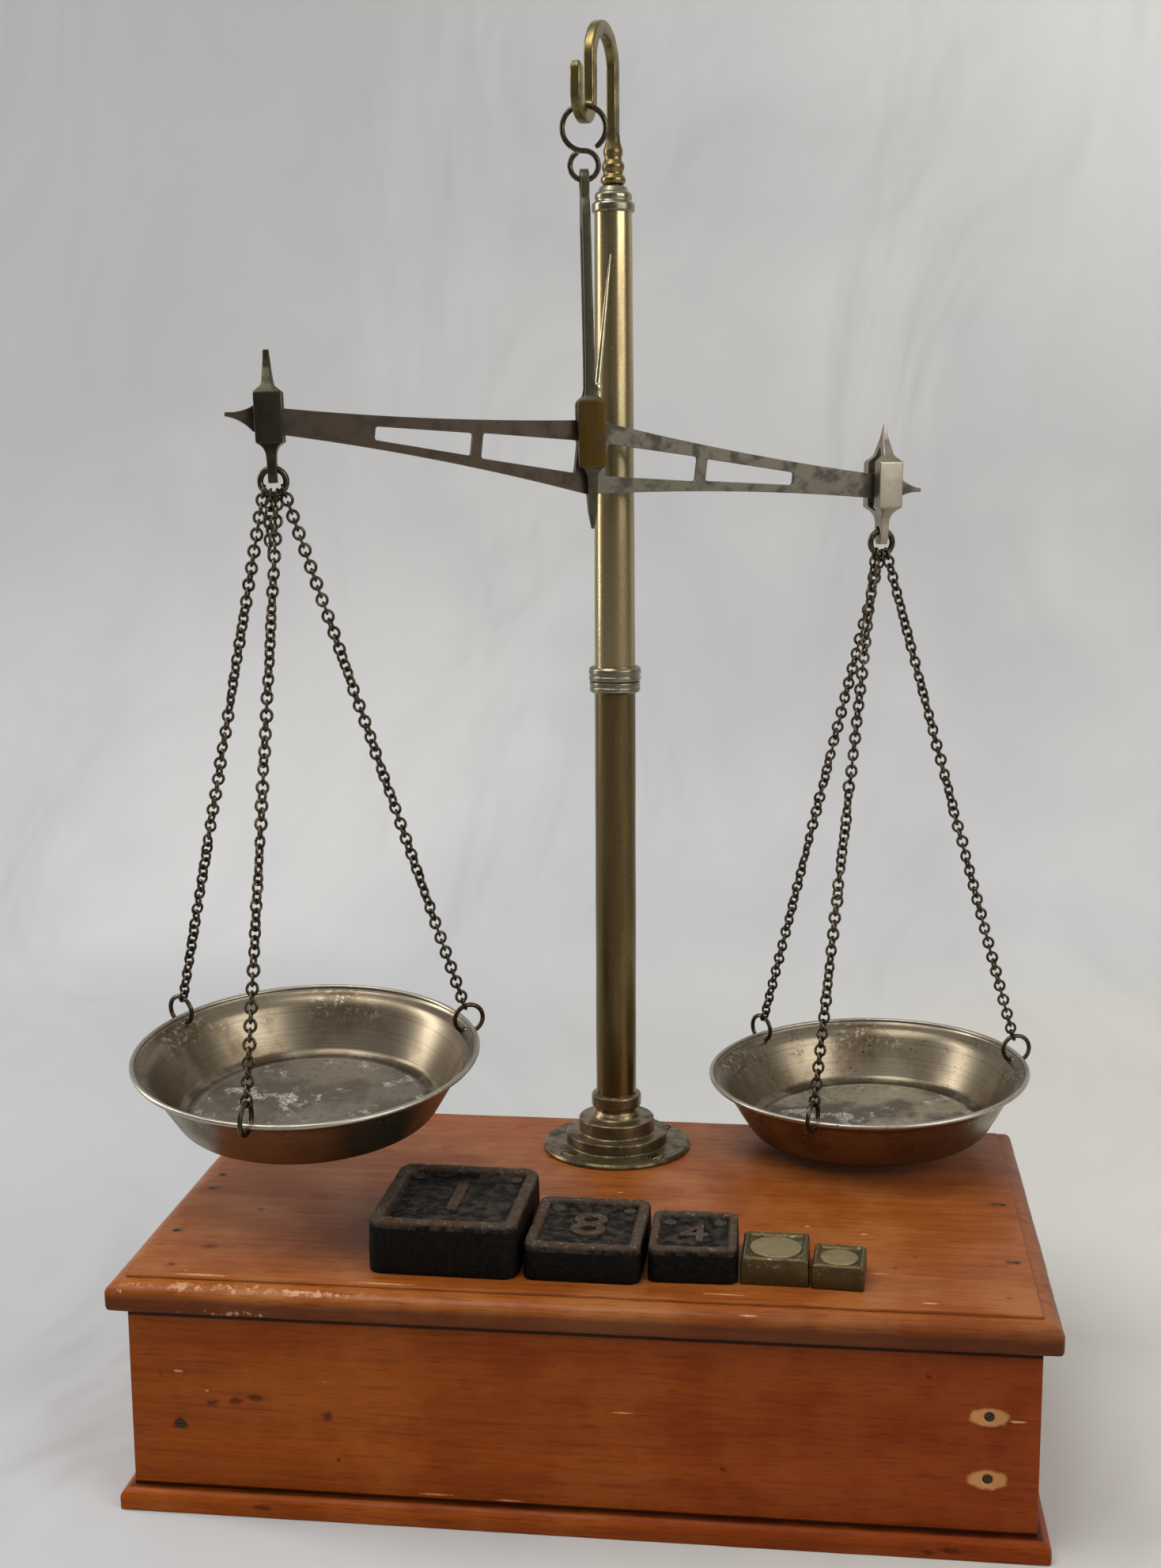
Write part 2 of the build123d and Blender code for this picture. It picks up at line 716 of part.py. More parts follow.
nodes = {
    "lid_board": lid,
    "front_board": front_board,
    "back_board": walls()["back_board"],
    **end_boards,
    "base_board": base_board(),
    "corner_blocks": blocks,
    "front_screws": Compound(front_screws()),
    "lid_nails": Compound(lid_nails()),
    "column_flange": flange(),
    "flange_screws": Compound(flange_screws),
    "lower_tube": lower_tube(),
    "upper_tube": upper_tube(),
    "tube_spigot": tube_spigot(),
    **collars(),
    "column_cap": column_cap(),
    "crook_hook": crook(),
    "s_hook": s_hook(),
    "shears": shears(),
    "shears_bearings": Compound(shears_bearings()),
    "beam": beam(),
    **knives(),
    "pointer": pointer(),
    "stirrup_left": stirrup(left_stirrup_place),
    "stirrup_left_bearings": Compound(stirrup_bearings(left_stirrup_place)),
    "stirrup_right": stirrup(right_stirrup_place),
    "stirrup_right_bearings": Compound(stirrup_bearings(right_stirrup_place)),
    "main_ring_left": main_ring(left_stirrup_place),
    "main_ring_right": main_ring(right_stirrup_place),
    "pan_left": left_pan_place * pierced_pan(left_eye_angles),
    "pan_right": right_pan_place * pierced_pan(right_eye_angles),
    "eye_rings_left": left_pan_place * Compound(eye_rings(left_eye_angles)),
    "eye_rings_right": right_pan_place * Compound(eye_rings(right_eye_angles)),
    "balance_tail": balance_tail(left_stirrup_place, -1.3),
}
left_chains = strands(left_stirrup_place, left_pan_place, left_eye_angles, (-3.9, 1.3, 3.9))
right_chains = strands(right_stirrup_place, right_pan_place, right_eye_angles, (-2.6, 0.0, 2.6))
for number in range(3):
    nodes[f"chain_left_{number + 1}"] = left_chains[number]
    nodes[f"chain_right_{number + 1}"] = right_chains[number]
for name, (width, depth, height, corner, rim, middle, turn) in iron_weights.items():
    spot = weight_place(middle, turn)
    lead = plugs(width, depth, height, rim)
    body = iron_weight(width, depth, height, corner, rim)
    for plug in lead:
        body -= plug
    nodes[name] = spot * body
    nodes[f"{name}_plugs"] = spot * Compound(lead)
for name, (width, depth, height, corner, rim, middle, turn) in brass_weights.items():
    nodes[name] = weight_place(middle, turn) * brass_weight(width, depth, height, corner, rim)

for name, shape in nodes.items():
    export_step(shape, f"parts/{name}.step")
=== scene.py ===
"""The looks of an antique counter scale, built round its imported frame.

Lengths in this file are millimetres until mesh_object turns them into metres. Every shape is a
surface worked out with numpy, or a softened copy of a forging's own mesh, and every finish is a
node material on object coordinates.
"""

import json
import logging
from dataclasses import dataclass
from enum import Enum
from functools import reduce
from math import cos, pi, radians, sin, sqrt, tan
from typing import Any, Iterable, Sequence

import bmesh
import bpy
import numpy as np
from mathutils import Matrix, Vector


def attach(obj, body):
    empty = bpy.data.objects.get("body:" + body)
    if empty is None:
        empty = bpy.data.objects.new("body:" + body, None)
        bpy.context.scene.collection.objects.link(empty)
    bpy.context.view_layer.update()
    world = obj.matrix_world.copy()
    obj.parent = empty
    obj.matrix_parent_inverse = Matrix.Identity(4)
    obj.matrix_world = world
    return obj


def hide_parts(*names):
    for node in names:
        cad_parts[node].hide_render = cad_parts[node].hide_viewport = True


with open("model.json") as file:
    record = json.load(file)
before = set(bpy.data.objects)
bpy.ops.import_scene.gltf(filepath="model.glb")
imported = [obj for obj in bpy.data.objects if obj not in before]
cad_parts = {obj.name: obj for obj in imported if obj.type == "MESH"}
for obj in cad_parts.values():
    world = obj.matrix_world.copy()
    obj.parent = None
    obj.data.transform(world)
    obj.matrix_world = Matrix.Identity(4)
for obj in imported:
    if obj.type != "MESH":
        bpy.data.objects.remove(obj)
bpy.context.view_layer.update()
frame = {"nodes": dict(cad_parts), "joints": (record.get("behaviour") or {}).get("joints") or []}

MM = 0.001
FULL_TURN = 2 * pi
LID_TOP = 101.0
FRONT_FACE = -103.3
BASE_FACE = -108.6
BEAM_HEADING = 23.2
BEAM_TILT = 6.22
SHEARS_HEADING = 12.0
log = logging.getLogger("scale")

Colour = tuple[float, float, float, float]
Socket = bpy.types.NodeSocket
Object = bpy.types.Object
Material = bpy.types.Material


# Places and curves


def unit(vector: Iterable[float]) -> np.ndarray:
    """Returns the vector at length one."""
    values = np.asarray(vector, float)
    return values / np.linalg.norm(values)


def bearing(angle: float) -> tuple[float, float]:
    """Returns the cosine and sine of an angle in degrees."""
    return cos(radians(angle)), sin(radians(angle))


def turned_axes(angle: float) -> np.ndarray:
    """Returns X, Y and Z as rows, turned about the vertical by an angle in degrees."""
    c, s = bearing(angle)
    return np.array([[c, s, 0], [-s, c, 0], [0, 0, 1]])


@dataclass(frozen=True)
class Place:
    """Where a piece sits: an origin, and its own X, Y and Z as the rows of a matrix."""

    origin: np.ndarray
    axes: np.ndarray

    @classmethod
    def upright(cls, x: float, y: float, z: float, turn: float = 0.0) -> "Place":
        """Returns a place with Z up, turned about the vertical by an angle in degrees."""
        return cls(np.array([x, y, z], float), turned_axes(turn))

    @classmethod
    def along(
        cls, origin: Iterable[float], upward: Iterable[float], across: Iterable[float]
    ) -> "Place":
        """Makes a place from its upright.

        Args:
            origin: The place's origin.
            upward: The direction of its Z.
            across: The direction that its Y comes as near to as it can.

        Returns:
            The place.
        """
        z = unit(upward)
        x = unit(np.cross(across, z))
        return cls(np.asarray(origin, float), np.array([x, np.cross(z, x), z]))

    @classmethod
    def hanging(cls, origin: Iterable[float], upward: Iterable[float], heading: float) -> "Place":
        """Returns the place of a piece that hangs in line with upward, its X near the heading."""
        c, s = bearing(heading)
        return cls.along(origin, upward, (-s, c, 0.0))

    def put(self, points: np.ndarray) -> np.ndarray:
        """Returns local points in the row frame."""
        return self.origin + points @ self.axes

    def matrix(self) -> Matrix:
        """Turns the place into a matrix in metres.

        Returns:
            The matrix.
        """
        made = Matrix(self.axes.T.tolist()).to_4x4()
        made.translation = Vector((self.origin * MM).tolist())
        return made


def eased(outline: Sequence[tuple[float, float]], ease: float, steps: int = 5) -> np.ndarray:
    """Rounds the inner corners of an open outline.

    Each corner c gives way to the curve (1-s)^2 a + 2 s (1-s) c + s^2 b, where a and b lie on its
    two sides at the ease, or at 0.45 of the side where that is less.

    Args:
        outline: Points in the plane.
        ease: How far from a corner its curve starts.
        steps: Points on each curve.

    Returns:
        The outline's points, as an array of rows of two.
    """
    points = np.asarray(outline, float)
    corner, before, after = points[1:-1], points[:-2] - points[1:-1], points[2:] - points[1:-1]
    ends = []
    for side in (before, after):
        length = np.linalg.norm(side, axis=1)[:, None]
        ends.append((corner + side / length * np.minimum(ease, 0.45 * length))[:, None])
    s = np.linspace(0, 1, steps)[None, :, None]
    curves = (1 - s) ** 2 * ends[0] + 2 * s * (1 - s) * corner[:, None] + s**2 * ends[1]
    return np.vstack([points[:1], curves.reshape(-1, 2), points[-1:]])


def waves(points: np.ndarray, wavelength: float, seed: int, count: int = 14) -> np.ndarray:
    """Works out a smooth wandering value of about -1 to 1 at each point.

    It is the sum of sin(2 pi way . p / length + phase) over the waves, divided by the root of
    their count.

    Args:
        points: The points, in millimetres.
        wavelength: The waves' usual length.
        seed: The seed of their ways, lengths and phases.
        count: How many waves.

    Returns:
        The value at each point.
    """
    chance = np.random.default_rng(seed)
    ways = chance.normal(size=(3, count))
    ways /= np.linalg.norm(ways, axis=0)
    lengths = wavelength * chance.uniform(0.6, 1.6, count)
    phases = chance.uniform(0, FULL_TURN, count)
    return np.sin(points @ ways * (FULL_TURN / lengths) + phases).sum(-1) / sqrt(count)


# Grids and meshes


def grid_faces(rows: int, columns: int, wrap_rows: bool = False) -> np.ndarray:
    """Lists the quads of a grid whose columns close on themselves, facing out of a turned form.

    Args:
        rows: The grid's rows.
        columns: The points of each row.
        wrap_rows: Whether the last row joins the first.

    Returns:
        Rows of four indices.
    """
    i = np.arange(rows if wrap_rows else rows - 1)[:, None]
    j = np.arange(columns)[None, :]
    up, on = (i + 1) % rows, (j + 1) % columns
    quads = np.stack([i * columns + j, i * columns + on, up * columns + on, up * columns + j], -1)
    return quads.reshape(-1, 4)


def add(name: str, data: Any) -> Object:
    """Puts a mesh, a text, a lamp or a camera into the scene as an object at the origin."""
    made = bpy.data.objects.new(name, data)
    bpy.context.scene.collection.objects.link(made)
    return made


def mesh_object(name: str, points: np.ndarray, faces: list, crease: float) -> Object:
    """Makes a mesh object, smooth but for its creases.

    Args:
        name: The object's name.
        points: Its points in millimetres.
        faces: Its faces, as lists of indices.
        crease: The least angle between faces, in degrees, that shows as a crease.

    Returns:
        The object at the origin.
    """
    mesh = bpy.data.meshes.new(name)
    mesh.from_pydata((points.reshape(-1, 3) * MM).tolist(), [], faces)
    mesh.shade_smooth()
    mesh.set_sharp_from_angle(angle=radians(crease))
    return add(name, mesh)


def solids(name: str, grids: Sequence[np.ndarray], crease: float = 32.0) -> Object:
    """Makes one object of solids that are closed at both ends.

    Args:
        name: The object's name.
        grids: A grid for each, all of one size; each row is a closed loop, the end rows are capped.
        crease: The least angle that shows as a crease.

    Returns:
        The object.
    """
    rows, columns = grids[0].shape[:2]
    sides, faces = grid_faces(rows, columns), []
    for first in range(0, len(grids) * rows * columns, rows * columns):
        last = first + (rows - 1) * columns
        faces += (sides + first).tolist()
        faces += [list(range(first, first + columns))[::-1], list(range(last, last + columns))]
    return mesh_object(name, np.stack(grids), faces, crease)


def solid(name: str, grid: np.ndarray, crease: float = 32.0) -> Object:
    """Makes one solid that is closed at both ends."""
    return solids(name, [grid], crease)


def rings(name: str, grids: Sequence[np.ndarray], crease: float = 60.0) -> Object:
    """Makes one object of solids that close on themselves both ways.

    Args:
        name: The object's name.
        grids: A grid for each, all of one size.
        crease: The least angle that shows as a crease.

    Returns:
        The object.
    """
    rows, columns = grids[0].shape[:2]
    first = (np.arange(len(grids)) * rows * columns)[:, None, None]
    faces = (grid_faces(rows, columns, wrap_rows=True) + first).reshape(-1, 4)
    return mesh_object(name, np.stack(grids), faces.tolist(), crease)


def prism(name: str, outline: np.ndarray, half: float, place: Place) -> Object:
    """Makes a flat plate.

    Args:
        name: The object's name.
        outline: The closed outline, in the place's XZ plane.
        half: How far the plate runs to either side of that plane.
        place: Where the plate sits.

    Returns:
        The object.
    """
    near = np.stack([outline[:, 0], half + 0 * outline[:, 0], outline[:, 1]], -1)
    return solid(name, place.put(np.stack([near, near * np.array([1.0, -1.0, 1.0])])), 25.0)


def arc(start: tuple, middle: tuple, end: tuple, steps: int) -> np.ndarray:
    """Draws the arc through three points.

    The centre c is where |c - start| = |c - middle| = |c - end|, two equations linear in c.

    Args:
        start: The first point.
        middle: A point between.
        end: The last point.
        steps: How many points to give.

    Returns:
        The arc's points, from the first to the last.
    """
    a, b, c = (np.array(p, float) for p in (start, middle, end))
    centre = np.linalg.solve(2 * np.array([b - a, c - a]), np.array([b @ b - a @ a, c @ c - a @ a]))
    first, mid, last = (np.arctan2(*(p - centre)[::-1]) for p in (a, b, c))
    sweep = (last - first) % FULL_TURN
    if (mid - first) % FULL_TURN > sweep:
        sweep -= FULL_TURN
    turn = first + np.linspace(0, 1, steps) * sweep
    return centre + np.linalg.norm(a - centre) * np.stack([np.cos(turn), np.sin(turn)], -1)


def turned(outline: np.ndarray, place: Place, columns: int = 96) -> np.ndarray:
    """Turns an outline about Z: each point (r, z) gives (r cos a, r sin a, z).

    Args:
        outline: Rows of radius and height.
        place: Where the form sits.
        columns: Points round it.

    Returns:
        The grid, a row for each point of the outline.
    """
    a = np.linspace(0, FULL_TURN, columns, endpoint=False)
    r, z = outline[:, :1], outline[:, 1:]
    return place.put(np.stack([r * np.cos(a), r * np.sin(a), z + 0 * a], -1))


def torus(radius: float, wire: float, rows: int, columns: int) -> np.ndarray:
    """Works out a wire ring about Z: ((R + w cos v) cos u, (R + w cos v) sin u, w sin v).

    Args:
        radius: R, to the middle of the wire.
        wire: w, half the wire's thickness.
        rows: Points round the ring.
        columns: Points round the wire.

    Returns:
        The grid.
    """
    u = np.linspace(0, FULL_TURN, rows, endpoint=False)[:, None]
    v = np.linspace(0, FULL_TURN, columns, endpoint=False)[None, :]
    across = radius + wire * np.cos(v)
    return np.stack([across * np.cos(u), across * np.sin(u), wire * np.sin(v) + 0 * u], -1)


def upright_ring(radius: float, wire: float, rows: int, columns: int) -> np.ndarray:
    """Returns the grid of a wire ring about Y."""
    grid = torus(radius, wire, rows, columns)
    return np.stack([grid[..., 0], -grid[..., 2], grid[..., 1]], -1)


def planar_tube(path: np.ndarray, normal: np.ndarray, radius: np.ndarray) -> np.ndarray:
    """Carries a circle along a path in a plane.

    The section at a point lies in the plane of the normal and of side = tangent x normal, so its
    points are p + r (cos v side + sin v normal).

    Args:
        path: Rows of three along the tube's line.
        normal: The unit normal of the path's plane.
        radius: The tube's radius at each point.

    Returns:
        The grid of the tube.
    """
    tangent = np.gradient(path, axis=0)
    side = np.cross(tangent, normal)
    side /= np.linalg.norm(side, axis=1)[:, None]
    v = np.linspace(0, FULL_TURN, 16, endpoint=False)[None, :, None]
    spoke = -np.cos(v) * side[:, None] + np.sin(v) * normal
    return path[:, None] + radius[:, None, None] * spoke


@dataclass(frozen=True)
class SoftLoop:
    """Shares out the points round a rectangle with rounded corners, the same for every loop."""

    per_corner: int
    per_side: int

    def grid(self, rows: np.ndarray) -> np.ndarray:
        """Works out a loop for each row.

        A point is base (half - radius) + radius direction, where base runs over the unit square
        and direction over the unit circle, standing still along the sides.

        Args:
            rows: Half width, half depth, corner radius and height of each loop.

        Returns:
            The grid.
        """
        base, way = [], []
        for k, (sx, sy) in enumerate(((1, 1), (-1, 1), (-1, -1), (1, -1))):
            a = radians(90 * k) + np.linspace(0, pi / 2, self.per_corner)
            base.append(np.tile([float(sx), float(sy)], (self.per_corner, 1)))
            way.append(np.stack([np.cos(a), np.sin(a)], -1))
            t = np.linspace(0, 1, self.per_side + 2)[1:-1, None]
            base.append((1 - t) * np.array([sx, sy], float) + t * np.array([-sy, sx], float))
            way.append(np.tile(bearing(90 * k + 90), (self.per_side, 1)))
        b, w = np.vstack(base), np.vstack(way)
        half_x, half_y, corner, height = (rows[:, k][:, None] for k in range(4))
        x = b[:, 0] * (half_x - corner) + corner * w[:, 0]
        y = b[:, 1] * (half_y - corner) + corner * w[:, 1]
        return np.stack([x, y, height + 0 * x], -1)


def ease_edges(piece: Object, width: float, angle: float) -> None:
    """Gives a piece a bevel.

    Args:
        piece: The piece.
        width: The bevel's width in millimetres.
        angle: The least angle between faces, in degrees, that counts as an edge.
    """
    bevel = piece.modifiers.new("eased edges", "BEVEL")
    bevel.width = width * MM
    bevel.segments = 3
    bevel.limit_method = "ANGLE"
    bevel.angle_limit = radians(angle)
    bevel.harden_normals = True


def softened(node: str, ease: float) -> Object:
    """Copies a CAD node's mesh, joins its facets and eases its edges.

    Args:
        node: The CAD node to copy.
        ease: The width of its eased edges in millimetres.

    Returns:
        The new object at the origin.
    """
    mesh = frame["nodes"][node].data.copy()
    mesh.name = f"{node}_form"
    edit = bmesh.new()
    edit.from_mesh(mesh)
    bmesh.ops.remove_doubles(edit, verts=edit.verts, dist=2e-6)
    bmesh.ops.dissolve_limit(edit, angle_limit=radians(1.0), verts=edit.verts, edges=edit.edges)
    edit.to_mesh(mesh)
    edit.free()
    mesh.materials.clear()
    mesh.shade_smooth()
    made = add(f"{node}_form", mesh)
    ease_edges(made, ease, 27.0)
    return made


def cut(piece: Object, tools: list[Object], crease: float | None = None) -> Object:
    """Cuts tools out of a piece and removes them.

    Args:
        piece: The piece to cut.
        tools: The closed objects to cut it with.
        crease: The least angle that shows as a crease after the cut, where it is marked anew.

    Returns:
        The piece.
    """
    for tool in tools:
        step = piece.modifiers.new("cut", "BOOLEAN")
        step.operation = "DIFFERENCE"
        step.solver = "EXACT"
        step.object = tool
    graph = bpy.context.evaluated_depsgraph_get()
    whole = bpy.data.meshes.new_from_object(piece.evaluated_get(graph), depsgraph=graph)
    piece.modifiers.clear()
    piece.data = whole
    for tool in tools:
        bpy.data.objects.remove(tool)
    if crease is not None:
        whole.set_sharp_from_angle(angle=radians(crease))
    return piece


# Shader tools


def srgb(red: int, green: int, blue: int) -> Colour:
    """Returns a colour written in screen values of 0 to 255 as linear values."""
    parts = [
        v / 255 / 12.92 if v <= 10 else ((v / 255 + 0.055) / 1.055) ** 2.4
        for v in (red, green, blue)
    ]
    return (parts[0], parts[1], parts[2], 1.0)


class Value:
    """A number that varies over a surface; arithmetic on it adds Math nodes."""

    def __init__(self, shading: "Shading", socket: Socket) -> None:
        """Wraps a socket of the shading's tree."""
        self.shading = shading
        self.socket = socket

    def _math(self, operation: str, *terms: Any) -> "Value":
        """Returns the result of one Math node on the terms."""
        settings = {"operation": operation}
        made = self.shading.node("ShaderNodeMath", settings, dict(enumerate(terms)))
        return Value(self.shading, made.outputs[0])

    def __add__(self, other: Any) -> "Value":
        """Returns the sum."""
        return self._math("ADD", self, other)

    __radd__ = __add__

    def __sub__(self, other: Any) -> "Value":
        """Returns the difference."""
        return self._math("SUBTRACT", self, other)

    def __rsub__(self, other: Any) -> "Value":
        """Returns the difference, the other way round."""
        return self._math("SUBTRACT", other, self)

    def __mul__(self, other: Any) -> "Value":
        """Returns the product."""
        return self._math("MULTIPLY", self, other)

    __rmul__ = __mul__

    def __truediv__(self, other: Any) -> "Value":
        """Returns the quotient."""
        return self._math("DIVIDE", self, other)

    def __pow__(self, other: Any) -> "Value":
        """Returns the power."""
        return self._math("POWER", self, other)

    def most(self, other: Any) -> "Value":
        """Returns the larger of the two."""
        return self._math("MAXIMUM", self, other)


class Shading:
    """Builds one material's nodes."""

    def __init__(self, name: str) -> None:
        """Starts a material with an empty tree."""
        self.material = bpy.data.materials.new(name)
        self.material.use_nodes = True
        self.tree = self.material.node_tree
        self.tree.nodes.clear()

    def node(
        self, kind: str, settings: dict | None = None, inputs: dict | None = None
    ) -> bpy.types.Node:
        """Adds a node.

        Args:
            kind: The node's type.
            settings: Its own properties, set first.
            inputs: Numbers, colours, sockets or Values for its sockets, by name or place.

        Returns:
            The node.
        """
        made = self.tree.nodes.new(kind)
        for key, setting in (settings or {}).items():
            setattr(made, key, setting)
        for key, given in (inputs or {}).items():
            if isinstance(given, Value):
                given = given.socket
            if isinstance(given, bpy.types.NodeSocket):
                self.tree.links.new(given, made.inputs[key])
            else:
                made.inputs[key].default_value = given
        return made

    def coordinates(
        self, stretch: Sequence[float] = (1.0, 1.0, 1.0), place: Place | None = None
    ) -> Socket:
        """Adds object coordinates.

        Args:
            stretch: What the three parts are multiplied by.
            place: The place in whose own frame they are given, where it isn't the row's.

        Returns:
            The vector's socket.
        """
        vector = self.node("ShaderNodeTexCoord").outputs["Object"]
        if place is not None:
            matrix = place.matrix()
            vector = self.node(
                "ShaderNodeMapping",
                {"vector_type": "TEXTURE"},
                {"Vector": vector, "Location": matrix.translation, "Rotation": matrix.to_euler()},
            ).outputs[0]
        if tuple(stretch) == (1.0, 1.0, 1.0):
            return vector
        return self.node("ShaderNodeMapping", {}, {"Vector": vector, "Scale": stretch}).outputs[0]

    def vector(self, operation: str, first: Any, second: Any) -> Socket:
        """Returns the vector result of one Vector Math node."""
        inputs = {0: first, 1: second}
        return self.node("ShaderNodeVectorMath", {"operation": operation}, inputs).outputs[0]

    def measure(self, operation: str, *vectors: Any) -> Value:
        """Returns the number that one Vector Math node gives."""
        settings = {"operation": operation}
        made = self.node("ShaderNodeVectorMath", settings, dict(enumerate(vectors)))
        return Value(self, made.outputs["Value"])

    def parts(self, vector: Socket) -> tuple[Value, Value, Value]:
        """Returns the three parts of a vector."""
        made = self.node("ShaderNodeSeparateXYZ", {}, {0: vector})
        return tuple(Value(self, made.outputs[k]) for k in range(3))

    def noise(
        self, vector: Socket, scale: float, detail: float = 4.0, rough: float = 0.55,
        bend: float = 0.0,
    ) -> Value:
        """Adds cloudy noise of about 0.3 to 0.7.

        Args:
            vector: The coordinates.
            scale: How many clouds to a metre, about.
            detail: How many finer layers.
            rough: The strength of each finer layer against the last.
            bend: How far the clouds are pulled about.

        Returns:
            The noise.
        """
        inputs = {
            "Vector": vector, "Scale": scale, "Detail": detail, "Roughness": rough,
            "Distortion": bend,
        }
        return Value(self, self.node("ShaderNodeTexNoise", {}, inputs).outputs[0])

    def cells(self, vector: Socket, scale: float) -> Value:
        """Returns the distance to the nearest of many scattered points."""
        made = self.node("ShaderNodeTexVoronoi", {}, {"Vector": vector, "Scale": scale})
        return Value(self, made.outputs["Distance"])

    def step(self, value: Value, low: float, high: float) -> Value:
        """Makes a mask from a value.

        Args:
            value: The value.
            low: Where the mask is still 0.
            high: Where it reaches 1.

        Returns:
            The mask, with a smooth rise between the two.
        """
        settings = {"interpolation_type": "SMOOTHSTEP"}
        made = self.node("ShaderNodeMapRange", settings, {0: value, 1: low, 2: high})
        return Value(self, made.outputs[0])

    def mix(self, factor: Any, first: Any, second: Any, way: str = "MIX") -> Socket:
        """Returns the first colour going over to the second as the factor rises."""
        settings = {"data_type": "RGBA", "blend_type": way}
        return self.node("ShaderNodeMix", settings, {0: factor, 6: first, 7: second}).outputs[2]

    def layers(self, colour: Any, *coats: tuple[Any, Any]) -> Socket:
        """Lays colours over a colour in turn.

        Args:
            colour: The colour beneath.
            coats: The mask and the colour of each coat.

        Returns:
            The colour that shows.
        """
        for mask, coat in coats:
            colour = self.mix(mask, colour, coat)
        return colour

    def bump(self, height: Value, depth: float) -> Socket:
        """Returns the normal of a surface whose height varies by the depth in millimetres."""
        inputs = {"Height": height, "Distance": depth * MM, "Strength": 1.0}
        return self.node("ShaderNodeBump", {}, inputs).outputs[0]

    def worn_edges(self, reach: float) -> Value:
        """Marks the edges, by how far a rounded normal leaves the true one.

        Args:
            reach: How far from an edge the mark goes, in millimetres.

        Returns:
            1 on edges and 0 on flats.
        """
        soft = self.node("ShaderNodeBevel", {"samples": 4}, {"Radius": reach * MM}).outputs[0]
        true = self.node("ShaderNodeNewGeometry").outputs["Normal"]
        return self.step(1 - self.measure("DOT_PRODUCT", soft, true), 0.015, 0.16)

    def done(self, **inputs: Any) -> Material:
        """Ends the tree in one shader with the given sockets and returns the material."""
        shader = self.node("ShaderNodeBsdfPrincipled", {}, inputs)
        self.node("ShaderNodeOutputMaterial", {}, {"Surface": shader.outputs[0]})
        return self.material


# Finishes


class Grain(Enum):
    """Which way the grain of a board runs, as the stretch of its pattern."""

    LENGTHWAYS = (0.055, 1.0, 1.0)
    DEPTHWAYS = (1.0, 0.055, 1.0)


Mark = tuple[tuple[float, float, float], tuple[float, float, float]]
MARK_DEPTH = 3.0


def on_front(*rows: tuple[float, float, float, float], y: float = FRONT_FACE) -> tuple[Mark, ...]:
    """Returns marks on a front face at y, from rows of x, z and the two radii across it."""
    return tuple(((x, y, z), (wide, MARK_DEPTH, tall)) for x, z, wide, tall in rows)


def on_lid(*rows: tuple[float, float, float, float]) -> tuple[Mark, ...]:
    """Returns marks on the lid's top, from rows of x, y and the two radii across it."""
    return tuple(((x, y, LID_TOP), (wide, deep, MARK_DEPTH)) for x, y, wide, deep in rows)


